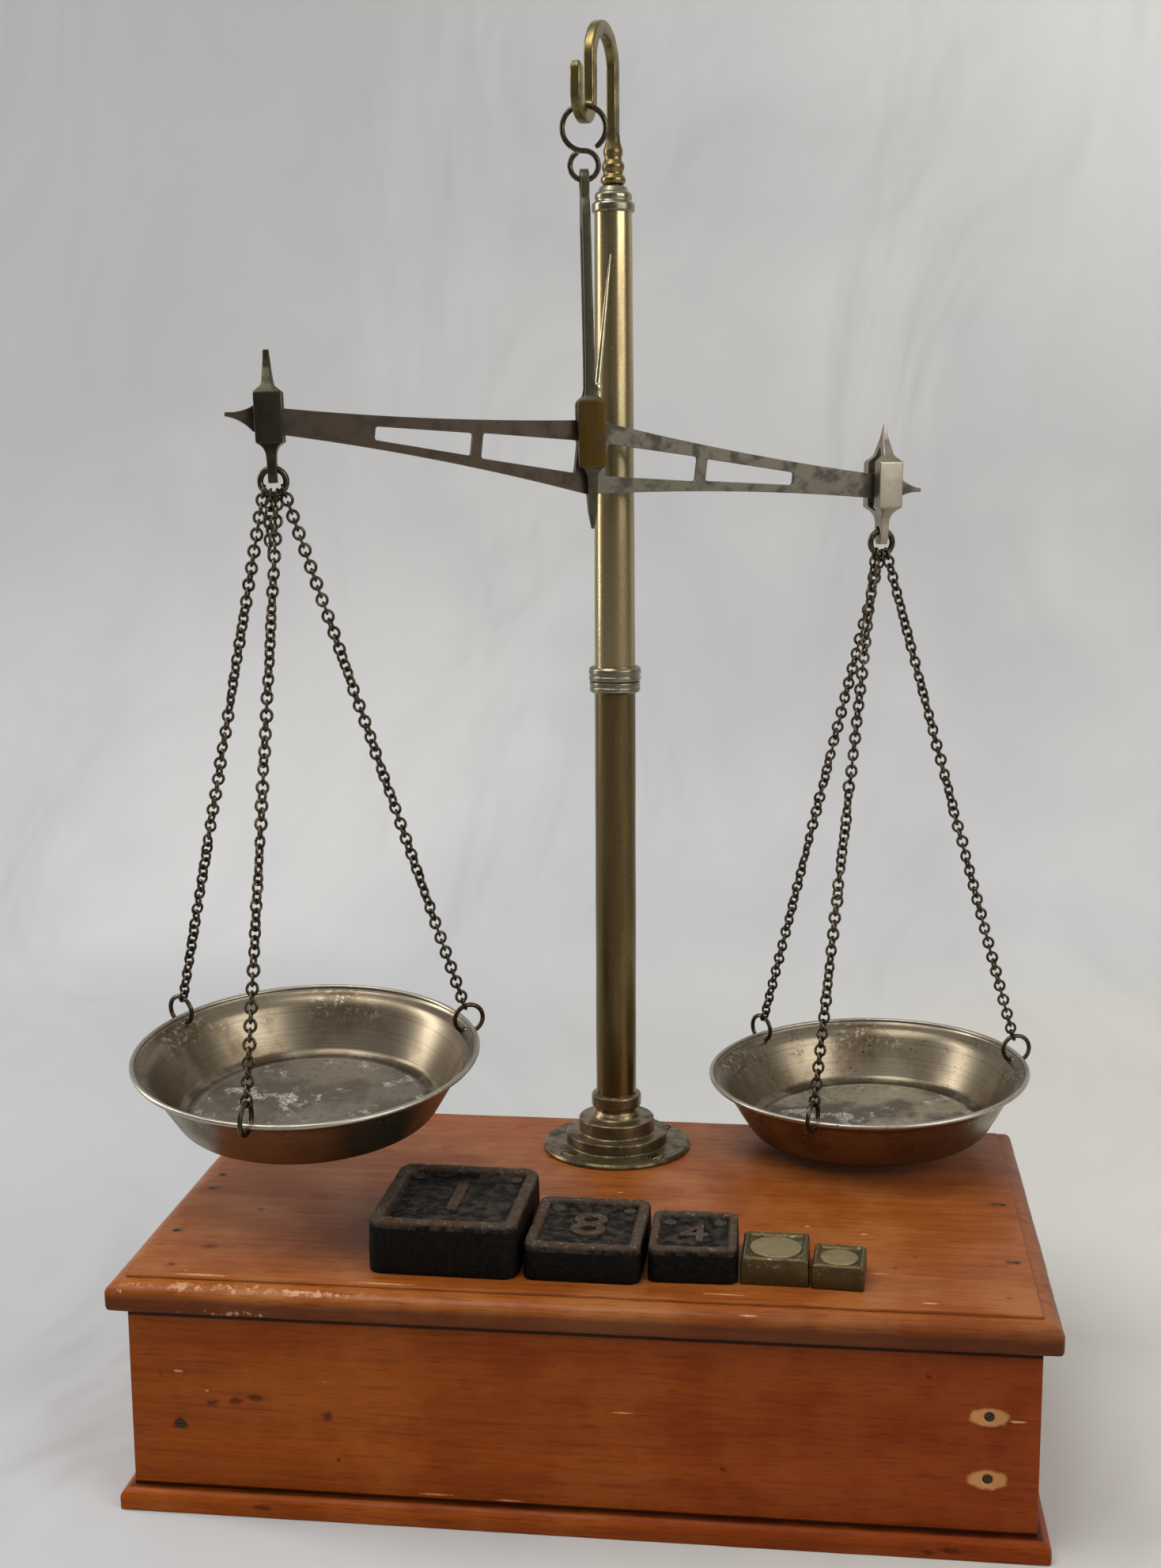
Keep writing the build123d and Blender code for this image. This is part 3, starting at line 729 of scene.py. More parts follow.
@dataclass(frozen=True)
class VarnishedWood:
    """Old softwood under worn orange-brown varnish."""

    name: str
    main: Colour
    dark: Colour
    pale: Colour
    grain: Grain = Grain.LENGTHWAYS
    gloss: float = 0.36
    spots: tuple[Mark, ...] = ()
    scratches: tuple[Mark, ...] = ()
    # Pale rubbed varnish that also stands in for sheen: partly wear, partly painted highlights.
    rubbed: tuple[Mark, ...] = ()
    fillers: tuple[Mark, ...] = ()
    # Heights of thin dark lines of painted shade: the shadow under the lid's overhang and the shade
    # in the joint above the base.
    shadow_line_heights: tuple[float, ...] = ()
    # The top of the lower band of a moulded edge that is darkened as painted shade.
    edge_shade_height: float = 0.0
    # Painted shade: the colour that the wood is multiplied by towards the right.
    far: Colour = (0.58, 0.38, 0.3, 1.0)
    sheen: float = 0.0

    def mask(self, s: Shading, marks: tuple[Mark, ...], soft: float, ragged: float) -> Value:
        """Makes the mask of some ragged marks.

        A mark is an ellipsoid: the length of (point - middle) / radii is under one inside it.

        Args:
            s: The material's shading.
            marks: The marks' middles and radii.
            soft: The share of a mark over which it fades.
            ragged: How far its edge wanders.

        Returns:
            The mask.
        """
        vector = s.coordinates()
        uneven = (s.noise(vector, 380.0, 3.0) - 0.5) * ragged
        spots = []
        for middle, radii in marks:
            away = s.vector("SUBTRACT", vector, tuple(v * MM for v in middle))
            away = s.vector("DIVIDE", away, tuple(v * MM for v in radii))
            spots.append(1 - s.step(s.measure("LENGTH", away) + uneven, 1 - soft, 1.0))
        return reduce(Value.most, spots)

    def material(self) -> Material:
        """Makes the material: fine grain, broad tone, stains, dents, worn varnish, painted shade
        and painted highlights.

        Returns:
            The material.
        """
        s = Shading(self.name)
        along, plain = s.coordinates(self.grain.value), s.coordinates()
        fibres = s.noise(along, 620.0, 4.0, 0.6)
        bands = s.noise(along, 120.0, 3.0, 0.5, 0.8)
        broad = s.noise(plain, 8.0, 3.0, 0.55)
        blotch = s.noise(plain, 30.0, 4.0, 0.6)
        worn = s.noise(plain, 90.0, 5.0, 0.7)
        tone = s.step(bands * 0.25 + fibres * 0.35 + broad * 0.15 + blotch * 0.25, 0.38, 0.60)
        pores = s.step(s.noise(along, 1500.0, 2.0, 0.5), 0.54, 0.68)
        streaks = s.step(s.noise(along, 420.0, 4.0, 0.7), 0.54, 0.66)
        stains = s.step(s.noise(plain, 52.0, 5.0, 0.66), 0.60, 0.70)
        nicks = 1 - s.step(s.cells(plain, 60.0), 0.030, 0.060)
        nicks = nicks * s.step(s.noise(plain, 120.0, 2.0), 0.52, 0.60)
        chips = 1 - s.step(s.cells(s.coordinates((0.5, 1.0, 1.4)), 85.0), 0.022, 0.045)
        chips = chips * s.step(s.noise(plain, 40.0, 2.0), 0.55, 0.62)
        edges = s.worn_edges(1.1)
        colour = s.layers(
            s.mix(tone, self.dark, self.main),
            (s.step(broad * 0.5 + blotch * 0.5, 0.46, 0.62) * 0.45, self.pale),
            (pores * 0.4, srgb(92, 38, 6)),
            (streaks * 0.35, srgb(104, 44, 6)),
            (stains * 0.35, self.dark),
            (nicks * 0.75, srgb(52, 26, 12)),
            (chips * 0.8, srgb(206, 160, 118)),
            (edges * s.step(worn, 0.44, 0.60) * 0.55, self.dark),
            (edges * s.step(1 - worn, 0.56, 0.64) * 0.6, srgb(190, 134, 88)),
        )
        across, _, height = s.parts(plain)
        # Painted shade: the wood grows darker and redder towards the right.
        colour = s.mix(s.step(across + worn * 0.1, -0.24, 0.3), colour, self.far, "MULTIPLY")
        height = height / MM
        coats = []
        # Painted shade on a moulded edge: its lower band, its right end and the edges at the quirk
        # are darkened.
        if self.edge_shade_height:
            top, shade_umber = self.edge_shade_height, srgb(64, 22, 1)
            below = 1 - s.step(height + worn * 2.0, top - 1.5, top + 2.5)
            right = s.step(across, -0.05, 0.2) * s.step(top + 6 - height, 0.0, 4.0)
            quirk_shade = edges * s.step(height, top + 2.8, top + 3.6)
            coats += [(below * 0.68, shade_umber), (right * 0.5, shade_umber), (quirk_shade * 0.8, srgb(66, 28, 8))]
        # Painted shade and shadow: a thin dark line at each of these heights.
        for level in self.shadow_line_heights:
            near = (height - level) * (height - level) + worn * 0.6
            coats.append(((1 - s.step(near, 0.5, 1.5)) * 0.9, srgb(24, 9, 3)))
        # Pale rubs, partly worn varnish and partly painted highlights of the moulding's sheen.
        if self.rubbed:
            rubs_and_sheen = self.mask(s, self.rubbed, 0.6, 5.0) * s.step(worn, 0.42, 0.56)
            coats.append((rubs_and_sheen * 0.75, srgb(200, 156, 118)))
        for marks, soft, ragged, tint, most in (
            (self.fillers, 0.3, 0.4, srgb(186, 132, 82), 0.9),
            (self.spots, 0.8, 1.4, srgb(60, 24, 4), 0.75),
            (self.scratches, 0.5, 1.2, srgb(206, 152, 102), 0.75),
        ):
            if marks:
                coats.append((self.mask(s, marks, soft, ragged) * most, tint))
        colour = s.layers(colour, *coats)
        relief = fibres * 0.12 + blotch * 0.3 - nicks * 1.2 - chips * 0.8
        return s.done(**{
            "Base Color": colour,
            "Roughness": self.gloss + broad * 0.15 - tone * 0.06 + stains * 0.12,
            "Normal": s.bump(relief, 0.22),
            "Coat Weight": self.sheen + s.step(blotch, 0.4, 0.6) * 0.04,
            "Coat Roughness": 0.25,
            "Specular IOR Level": 0.12,
        })


@dataclass(frozen=True)
class TarnishedMetal:
    """A metal that has dulled in patches, with specks, streaks and rubbed edges."""

    name: str
    main: Colour
    dark: Colour
    bright: Colour
    patch: float = 60.0
    patches: float = 0.6
    specks: float = 0.3
    speck_scale: float = 900.0
    rough: tuple[float, float] = (0.32, 0.52)
    metallic: float = 0.9
    stretch: tuple[float, float, float] = (1.0, 1.0, 1.0)
    relief: float = 0.03
    edge_reach: float = 0.5
    edge_wear: float = 0.5
    verdigris: float = 0.0

    def material(self) -> Material:
        """Makes the material: clouds of tarnish, specks, glints and rubbed edges.

        Returns:
            The material.
        """
        s = Shading(self.name)
        vector = s.coordinates(self.stretch)
        plain = s.coordinates()
        clouds = s.noise(vector, self.patch, 5.0, 0.6)
        broad = s.noise(vector, self.patch * 0.3, 2.0, 0.5)
        fine = s.noise(plain, self.speck_scale, 3.0, 0.6)
        patchy = s.step(clouds * 0.7 + broad * 0.3, 0.42, 0.62) * self.patches
        dots = s.step(fine, 0.62, 0.72) * s.step(clouds, 0.45, 0.6) * self.specks
        glints = s.step(1 - fine, 0.60, 0.72) * self.specks
        coats = [(patchy, self.dark), (dots, self.dark), (glints * 0.5, self.bright)]
        if self.edge_wear > 0:
            edges = s.worn_edges(self.edge_reach) * s.step(clouds, 0.32, 0.55)
            coats.append((edges * self.edge_wear, self.bright))
        if self.verdigris:
            blooms = s.step(s.noise(plain, 150.0, 4.0, 0.6), 0.61, 0.66)
            coats.append((blooms * self.verdigris, srgb(112, 136, 118)))
        low, high = self.rough
        return s.done(**{
            "Base Color": s.layers(self.main, *coats),
            "Roughness": low + patchy * (high - low) + fine * 0.12 - 0.06,
            "Metallic": self.metallic - patchy * 0.25,
            "Normal": s.bump(fine * 0.5 + clouds, self.relief),
        })


@dataclass(frozen=True)
class PanMetal:
    """Spun plate, dull grey on the floor, with turning lines, specks and pale deposits."""

    name: str
    place: Place
    black_specks: float
    deposits: float
    bed: Colour
    floor_radius: float = 52.0
    # Where the painted highlight on the rolled rim begins.
    rim_highlight_radius: float = 73.2

    def material(self) -> Material:
        """Makes the material, worked out in the pan's own frame.

        Returns:
            The material.
        """
        s = Shading(self.name)
        local = s.coordinates(place=self.place)
        x, y, z = s.parts(local)
        away = (x * x + y * y) ** 0.5 / MM
        wander = s.noise(local, 55.0, 4.0, 0.6)
        fine = s.noise(local, 1100.0, 3.0, 0.6)
        patch = s.noise(local, 26.0, 5.0, 0.62)
        rounds = s.node("ShaderNodeCombineXYZ", {}, {0: away * 0.9, 1: z * 900.0}).outputs[0]
        lines = s.noise(rounds, 1.6, 3.0)
        flat, rim = self.floor_radius, self.rim_highlight_radius
        floor = 1 - s.step(away + wander * 2.0, flat, flat + 2.5)
        smears = s.step(s.noise(local, 300.0, 4.0, 0.7), 0.54, 0.66)
        chalk = s.step(s.noise(local, 62.0, 6.0, 0.72), 0.55, 0.64) * s.step(fine, 0.42, 0.55)
        corner = s.step(away, flat - 2.0, flat + 2.0) * (1 - s.step(away, flat + 3.5, flat + 6.0))
        worn = s.step(s.noise(local, 340.0, 5.0, 0.7), 0.52, 0.62) * s.step(patch, 0.44, 0.56)
        black = s.step(s.noise(local, 640.0, 3.0, 0.6), 0.60, 0.68) * s.step(wander, 0.46, 0.6)
        wall = s.layers(
            srgb(138, 126, 106),
            (s.step(patch, 0.40, 0.62), srgb(104, 88, 68)),
            (s.step(lines, 0.45, 0.62) * 0.3, srgb(86, 74, 60)),
        )
        bed = s.layers(
            self.bed,
            (s.step(patch, 0.42, 0.6), srgb(104, 94, 82)),
            (smears * 0.5, srgb(80, 70, 60)),
            (chalk * self.deposits, srgb(204, 200, 190)),
        )
        colour = s.layers(
            wall,
            (floor, bed),
            (corner * s.step(wander, 0.42, 0.56) * 0.6, srgb(58, 46, 34)),
            (s.step(away, flat + 10.0, flat + 16.0) * worn * 0.5, srgb(196, 190, 174)),
            # Painted highlight: the rolled rim is lightened all round, partly for its brighter
            # metal.
            (s.step(away, rim, rim + 1.4) * 0.5, srgb(206, 200, 186)),
            (black * self.black_specks, srgb(34, 28, 22)),
        )
        rough = 0.27 + floor * 0.16 + s.step(patch, 0.4, 0.65) * 0.12 + fine * 0.1
        return s.done(**{
            "Base Color": colour, "Roughness": rough,
            "Metallic": 0.97 - floor * 0.25 - chalk * floor * 0.4,
            "Normal": s.bump(lines * 0.35 + wander * 0.6 + fine * 0.15, 0.06),
        })


@dataclass(frozen=True)
class CastIron:
    """Old black cast iron, pitted, with rust on its raised rims."""

    name: str
    top: float

    def material(self) -> Material:
        """Makes the material; the rust gathers at the height of the rim.

        Returns:
            The material.
        """
        s = Shading(self.name)
        plain = s.coordinates()
        height = s.parts(plain)[2] / MM
        pits = s.noise(plain, 620.0, 4.0, 0.65)
        clouds = s.noise(plain, 80.0, 4.0, 0.6)
        floor = s.step(height, self.top - 3.6, self.top - 2.9)
        dust = s.step(s.noise(plain, 210.0, 5.0, 0.7), 0.40, 0.64)
        rim = s.step(height, self.top - 2.2, self.top - 0.3)
        rust = s.step(s.noise(plain, 260.0, 5.0, 0.7), 0.42, 0.62)
        colour = s.layers(
            srgb(5, 4, 3),
            (s.step(pits, 0.42, 0.62), srgb(18, 14, 11)),
            (floor * dust * 0.8, srgb(66, 58, 48)),
            (rim * 0.85, s.mix(s.step(clouds, 0.44, 0.58), srgb(78, 68, 57), srgb(82, 58, 42))),
            (rim * rust * 0.6, srgb(52, 40, 32)),
            (rim * s.step(pits, 0.57, 0.68) * 0.6, srgb(146, 130, 112)),
            (s.worn_edges(1.0) * rust * 0.35, srgb(112, 84, 62)),
        )
        return s.done(**{
            "Base Color": colour, "Roughness": 0.5 + pits * 0.25, "Specular IOR Level": 0.12,
            "Normal": s.bump(pits + clouds * 0.8, 0.5),
        })


@dataclass(frozen=True)
class TwoToneMetal:
    """A forging whose middle is golden where hands rub it and whose ends are dull grey-green."""

    name: str
    place: Place
    low: float
    high: float
    middle: Colour
    ends: Colour
    dark: Colour
    bright: Colour

    def material(self) -> Material:
        """Makes the material; the middle lies between two heights in the forging's frame.

        Returns:
            The material.
        """
        s = Shading(self.name)
        local = s.coordinates(place=self.place)
        height = s.parts(local)[2] / MM
        clouds = s.noise(local, 120.0, 5.0, 0.62)
        fine = s.noise(local, 1000.0, 3.0, 0.6)
        inside = s.step(height + clouds, self.low, self.low + 1.2)
        inside = inside * (1 - s.step(height + clouds, self.high, self.high + 1.2))
        patchy = s.step(clouds, 0.46, 0.62)
        colour = s.layers(
            self.ends,
            (inside, self.middle),
            (patchy * 0.65, self.dark),
            (s.step(fine, 0.62, 0.74) * 0.4, self.dark),
            (s.worn_edges(0.4) * s.step(clouds, 0.34, 0.5) * 0.75, self.bright),
        )
        return s.done(**{
            "Base Color": colour, "Roughness": 0.36 + patchy * 0.16 + fine * 0.1,
            "Metallic": 0.9 - patchy * 0.2, "Normal": s.bump(fine * 0.4 + clouds, 0.04),
        })


class Finishes:
    """All finishes of the scale, each built once."""

    def __init__(self, left_pan: Place, right_pan: Place, shears: Place, beam: Place) -> None:
        """Builds the materials.

        Args:
            left_pan: The left pan's place, in whose frame its metal is worked out.
            right_pan: The right pan's place.
            shears: The shears' place.
            beam: The beam's place.
        """
        fillers = on_front((163.5, 58.2, 8.6, 4.4), (163.5, 32.0, 8.8, 4.6))
        knots = on_front(
            (-163.1, 36.6, 4.6, 4.2), (-131.0, 50.0, 4.6, 2.2), (-139.0, 48.0, 3.8, 2.4),
            (-149.0, 47.0, 4.0, 2.2), (-101.0, 43.5, 3.4, 3.0), (140.0, 74.0, 1.8, 1.4),
            (60.0, 30.0, 2.0, 1.2),
        ) + on_front(
            (150.0, 4.0, 6.4, 2.2), (141.0, 3.0, 3.4, 1.6), (-128.0, 4.5, 6.0, 1.8), y=BASE_FACE,
        )
        front_scratches = on_front(
            (-57.0, 12.0, 9.0, 0.5), (-26.0, 11.2, 7.0, 0.5), (-163.0, 60.0, 2.4, 0.7),
            (-151.0, 52.0, 1.0, 0.6), (20.0, 52.0, 6.0, 0.4), (174.0, 57.0, 4.0, 0.6),
        )
        dents = on_lid(
            (-176.6, -57.0, 4.2, 3.4), (-176.4, -7.6, 4.6, 3.6), (-177.0, 9.0, 3.4, 2.8),
            (176.0, -53.0, 5.2, 2.6), (174.6, 9.7, 5.6, 3.4), (-169.0, 52.0, 7.0, 3.4),
            (-166.0, 60.0, 3.4, 2.4), (-148.0, -30.0, 3.0, 2.0), (-158.0, -72.0, 4.6, 3.4),
            (-168.0, -92.0, 3.4, 2.6), (-96.0, -20.0, 1.8, 1.4), (30.0, -10.0, 1.4, 1.2),
            (128.0, -64.0, 1.6, 1.2), (-27.0, 47.0, 6.4, 2.2), (-19.0, 53.0, 4.0, 1.8),
            (62.0, -14.0, 2.0, 1.2), (171.0, -88.0, 2.2, 1.2), (-92.0, 22.0, 2.4, 1.6),
        )
        lid_scratches = on_lid(
            (60.0, -96.5, 10.0, 0.7), (-78.0, -101.0, 16.0, 1.0), (116.0, -30.0, 2.2, 0.9),
            (92.0, -24.0, 1.4, 0.8), (140.0, -96.0, 3.4, 0.8), (-152.0, -100.5, 12.0, 1.2),
            (8.0, 6.0, 1.8, 0.8), (121.0, -70.0, 5.0, 0.5),
        ) + (
            ((-110.0, -107.6, 98.6), (9.0, 0.7, 0.8)), ((70.0, -108.6, 98.0), (5.0, 0.6, 0.6)),
        )
        # Pale rubs on the lid's moulding and ends, partly wear and partly painted highlights of its
        # sheen.
        rubbed = (
            ((-160.0, -107.0, 98.4), (36.0, 2.2, 1.6)), ((-136.0, -112.5, 89.4), (18.0, 3.0, 1.3)),
            ((-110.0, -108.0, 98.2), (30.0, 1.4, 1.2)), ((-186.0, -96.0, 97.0), (3.0, 20.0, 1.6)),
            ((-186.0, -108.0, 4.0), (4.0, 3.0, 3.4)),
        )
        self.lid = VarnishedWood(
            "lid_varnish", srgb(154, 88, 36), srgb(132, 68, 22), srgb(170, 112, 64),
            spots=dents, scratches=lid_scratches, rubbed=rubbed, gloss=0.34, edge_shade_height=95.0,
            far=(0.88, 0.8, 0.74, 1.0), sheen=0.07,
        ).material()
        # The case has painted shade in the joint above the base at 9.7 and a painted shadow under
        # the lid at 84.4.
        self.case = VarnishedWood(
            "case_varnish", srgb(158, 80, 16), srgb(138, 63, 8), srgb(168, 94, 32),
            spots=knots, scratches=front_scratches, fillers=fillers, shadow_line_heights=(9.7, 84.4),
        ).material()
        self.case_ends = VarnishedWood(
            "end_varnish", srgb(150, 74, 16), srgb(130, 58, 8), srgb(160, 88, 32),
            grain=Grain.DEPTHWAYS, shadow_line_heights=(9.7, 84.4),
        ).material()
        self.bare_wood = VarnishedWood(
            "bare_wood", srgb(166, 122, 78), srgb(132, 92, 56), srgb(182, 140, 96), gloss=0.6,
            far=(1.0, 1.0, 1.0, 1.0),
        ).material()
        drawn = {"specks": 0.4, "stretch": (1.0, 1.0, 0.10), "metallic": 1.0, "edge_wear": 0.0}
        self.upper_tube = TarnishedMetal(
            "upper_tube_brass", srgb(178, 162, 122), srgb(120, 102, 70), srgb(226, 214, 178),
            patches=0.7, rough=(0.22, 0.36), **drawn,
        ).material()
        self.lower_tube = TarnishedMetal(
            "lower_tube_brass", srgb(124, 107, 68), srgb(74, 60, 34), srgb(186, 170, 126),
            patches=0.8, rough=(0.24, 0.38), **drawn,
        ).material()
        self.flange = TarnishedMetal(
            "flange_brass", srgb(124, 108, 78), srgb(56, 46, 30), srgb(196, 186, 152),
            patch=130.0, patches=0.9, specks=0.7, rough=(0.3, 0.55), relief=0.16, edge_reach=0.6,
            edge_wear=0.7,
        ).material()
        self.collar = TarnishedMetal(
            "collar_brass", srgb(150, 144, 122), srgb(84, 78, 60), srgb(214, 208, 190),
            patch=160.0, rough=(0.22, 0.42), metallic=1.0, relief=0.05, edge_reach=0.6,
        ).material()
        self.crook = TarnishedMetal(
            "crook_brass", srgb(128, 112, 72), srgb(62, 52, 30), srgb(190, 178, 136),
            patch=90.0, patches=0.8, rough=(0.26, 0.46), metallic=1.0, relief=0.05,
        ).material()
        self.dark = TarnishedMetal(
            "dark_bronze", srgb(86, 76, 60), srgb(40, 33, 24), srgb(176, 166, 144),
            patch=300.0, patches=0.9, specks=0.5, rough=(0.2, 0.4), metallic=1.0, relief=0.05,
            edge_reach=0.3, edge_wear=0.0,
        ).material()
        self.needle = TarnishedMetal(
            "needle_brass", srgb(196, 184, 150), srgb(120, 106, 76), srgb(230, 222, 200),
            patch=200.0, patches=0.4, rough=(0.22, 0.36), metallic=1.0, edge_wear=0.0,
        ).material()
        sideways = Place(beam.origin, beam.axes[[1, 2, 0]])
        self.beam = TwoToneMetal(
            "beam_metal", sideways, 0.0, 200.0, srgb(100, 95, 84), srgb(74, 64, 54),
            srgb(52, 44, 38), srgb(176, 168, 152),
        ).material()
        self.shears = TwoToneMetal(
            "shears_metal", shears, -6.0, 22.0, srgb(88, 66, 24), srgb(80, 78, 62),
            srgb(54, 44, 24), srgb(186, 176, 140),
        ).material()
        # The two stirrups are one metal: this dark copy paints it in shade, the pale copy below
        # paints it in the light that its face reflects.
        self.stirrup_dark = TarnishedMetal(
            "stirrup_dark", srgb(62, 59, 43), srgb(38, 35, 25), srgb(170, 160, 128),
            patch=90.0, patches=0.6, rough=(0.34, 0.5), edge_reach=0.4, edge_wear=0.8,
        ).material()
        self.stirrup_pale = TarnishedMetal(
            "stirrup_pale", srgb(148, 140, 125), srgb(104, 94, 80), srgb(204, 198, 184),
            patch=80.0, patches=0.4, specks=0.2, rough=(0.32, 0.5), edge_reach=0.4, edge_wear=0.6,
        ).material()
        self.steel = TarnishedMetal(
            "knife_steel", srgb(122, 118, 112), srgb(70, 64, 58), srgb(190, 186, 178), patch=200.0
        ).material()
        self.screw = TarnishedMetal(
            "screw_steel", srgb(66, 56, 46), srgb(30, 24, 19), srgb(130, 118, 100),
            patch=400.0, patches=0.8, rough=(0.45, 0.7), metallic=0.7,
        ).material()
        self.weight_brass = TarnishedMetal(
            "weight_brass", srgb(92, 76, 44), srgb(58, 45, 22), srgb(170, 158, 120),
            patch=140.0, patches=0.7, specks=0.6, rough=(0.36, 0.55), metallic=0.85, relief=0.15,
            edge_reach=0.7, edge_wear=0.8, verdigris=0.8,
        ).material()
        self.disc_brass = TarnishedMetal(
            "disc_brass", srgb(150, 134, 96), srgb(112, 98, 62), srgb(186, 176, 144),
            patch=220.0, patches=0.8, specks=0.6, rough=(0.4, 0.6), metallic=0.75, relief=0.3,
            edge_wear=0.5, verdigris=0.5,
        ).material()
        self.lead = TarnishedMetal(
            "lead", srgb(70, 66, 54), srgb(28, 25, 20), srgb(120, 116, 100),
            patch=900.0, patches=1.0, rough=(0.6, 0.8), metallic=0.3, relief=0.3,
        ).material()
        left_bed, right_bed = srgb(132, 124, 112), srgb(164, 154, 132)
        self.left_pan = PanMetal("left_pan_metal", left_pan, 0.25, 0.85, left_bed).material()
        self.right_pan = PanMetal("right_pan_metal", right_pan, 0.85, 0.8, right_bed).material()


def keep(piece: Object, finish: Material, body: str, slot: str, *nodes: str) -> None:
    """Dresses a finished piece and says what it is.

    Args:
        piece: The piece.
        finish: Its material.
        body: The body it rides on.
        slot: The record's material slot of the piece; not used.
        nodes: The CAD nodes it stands for.
    """
    piece.data.materials.clear()
    piece.data.materials.append(finish)
    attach(piece, body)
    if nodes:
        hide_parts(*nodes)
    log.info("%s rides on %s", piece.name, body)


def paint(node: str, finish: Material) -> None:
    """Gives a CAD node that stays in view its finish.

    Args:
        node: The node.
        finish: Its material.
    """
    shown = frame["nodes"][node]
    if not shown.material_slots:
        shown.data.materials.append(finish)
    shown.material_slots[0].material = finish


# The wooden box


@dataclass
class Box:
    """The moulded lid, the four boards, the base board, the nails and the screws."""

    finishes: Finishes
    lid_width: float = 381.0
    lid_depth: float = 221.0
    lid_thickness: float = 13.4
    lid_overhang: float = 7.2
    quirk: float = 1.2
    moulding: float = 7.4
    ovolo: float = 4.6
    base_thickness: float = 9.1
    base_step: float = 5.3
    base_round: float = 4.5
    lid_corner: float = 1.6
    board_middle: float = 60.0
    nails: tuple[tuple[float, float], ...] = (
        (-177.8, -57.0), (-177.8, -7.6), (-177.8, 9.0), (177.8, -53.0), (177.8, 9.7),
    )
    front_screws: tuple[tuple[float, float, float], ...] = (
        (163.5, 58.2, 35.0), (163.5, 32.0, -50.0), (-163.1, 36.6, 10.0),
    )

    def slab(
        self, name: str, width: float, depth: float, outline: np.ndarray, corner: float
    ) -> Object:
        """Makes a moulded board: its edge carried round a rectangle, a little unevenly.

        Args:
            name: The object's name.
            width: The board's width.
            depth: The board's depth.
            outline: Its edge as rows of inset and height, from the underside to the top.
            corner: The radius of its corners.

        Returns:
            The board.
        """
        inset, height = outline[:, 0], outline[:, 1]
        radius = np.maximum(corner - 0.6 * inset, 0.35)
        rows = np.stack([width / 2 - inset, depth / 2 - inset, radius, height], -1)
        grid = SoftLoop(7, 60).grid(rows)
        worn = waves(grid, 23.0, 3) * 0.10 + waves(grid, 7.0, 4) * 0.05
        grid[1:-1, :, :2] *= 1 - worn[1:-1, :, None] / (width / 2)
        grid[2:-2, :, 2] += 0.6 * worn[2:-2]
        return solid(name, grid, 40.0)

    def lid(self) -> Object:
        """Makes the lid: eased lower corner, square edge, quarter-round moulding, quirk and top.

        Returns:
            The lid.
        """
        under = LID_TOP - self.lid_thickness
        edge_top = LID_TOP - self.quirk - self.ovolo
        inner = self.moulding
        a = np.linspace(0, pi / 2, 12)
        ovolo = np.stack([inner * (1 - np.cos(a)), edge_top + self.ovolo * np.sin(a)], -1)
        quirk = [
            (inner + 0.05, edge_top + self.ovolo), (inner + 0.15, LID_TOP), (inner + 3.0, LID_TOP),
        ]
        outline = np.vstack([
            [(self.board_middle, under), (6.0, under)],
            eased([(5.0, under), (0.0, under), (0.0, edge_top - 0.8)], 2.4),
            ovolo,
            eased(quirk, 0.5),
            [(self.board_middle, LID_TOP + 0.02)],
        ])
        return self.slab("lid", self.lid_width, self.lid_depth, outline, self.lid_corner)

    def base(self) -> Object:
        """Makes the base board with its rounded upper edge.

        Returns:
            The base board.
        """
        inset = 2 * self.lid_overhang - 2 * self.base_step
        top, bead = self.base_thickness, self.base_round
        a = np.linspace(0, pi / 2, 10)
        outline = np.vstack([
            [(self.board_middle, 0.0), (2.0, 0.0)],
            eased([(1.5, 0.0), (0.0, 0.0), (0.0, top - bead - 0.4)], 0.7),
            np.stack([bead * (1 - np.cos(a)), top - bead + bead * np.sin(a)], -1),
            [(12.0, top), (self.board_middle, top)],
        ])
        return self.slab("base", self.lid_width - inset, self.lid_depth - inset, outline, 1.4)

    def screws(self) -> tuple[Object, Object]:
        """Makes the sunk front screws and the rings of filler round them.

        Returns:
            The screws and the rings.
        """
        head = eased([
            (0.2, -2.2), (1.4, -2.2), (2.4, -1.1), (2.4, -0.75), (1.6, -0.6), (0.2, -0.55),
        ], 0.2)
        ring = eased([
            (2.5, -1.2), (3.35, -1.2), (3.35, -0.05), (3.1, 0.04), (2.3, -0.12), (2.0, -0.6),
            (2.0, -1.0),
        ], 0.3)
        bar = SoftLoop(3, 1).grid(np.array([[3.2, 0.36, 0.05, -1.05], [3.2, 0.36, 0.05, 1.0]]))
        facing = np.array([[1, 0, 0], [0, 0, 1], [0, -1, 0]], float)
        heads, fillers, slots = [], [], []
        for x, z, turn in self.front_screws:
            place = Place(np.array([x, FRONT_FACE, z]), facing)
            heads.append(turned(head, place, 32))
            fillers.append(turned(ring, place, 40))
            slots.append(place.put(bar @ turned_axes(turn)))
        made = cut(solids("front_screw_heads", heads), [solids("slots", slots)], 35.0)
        return made, rings("front_screw_filler", fillers, 40.0)

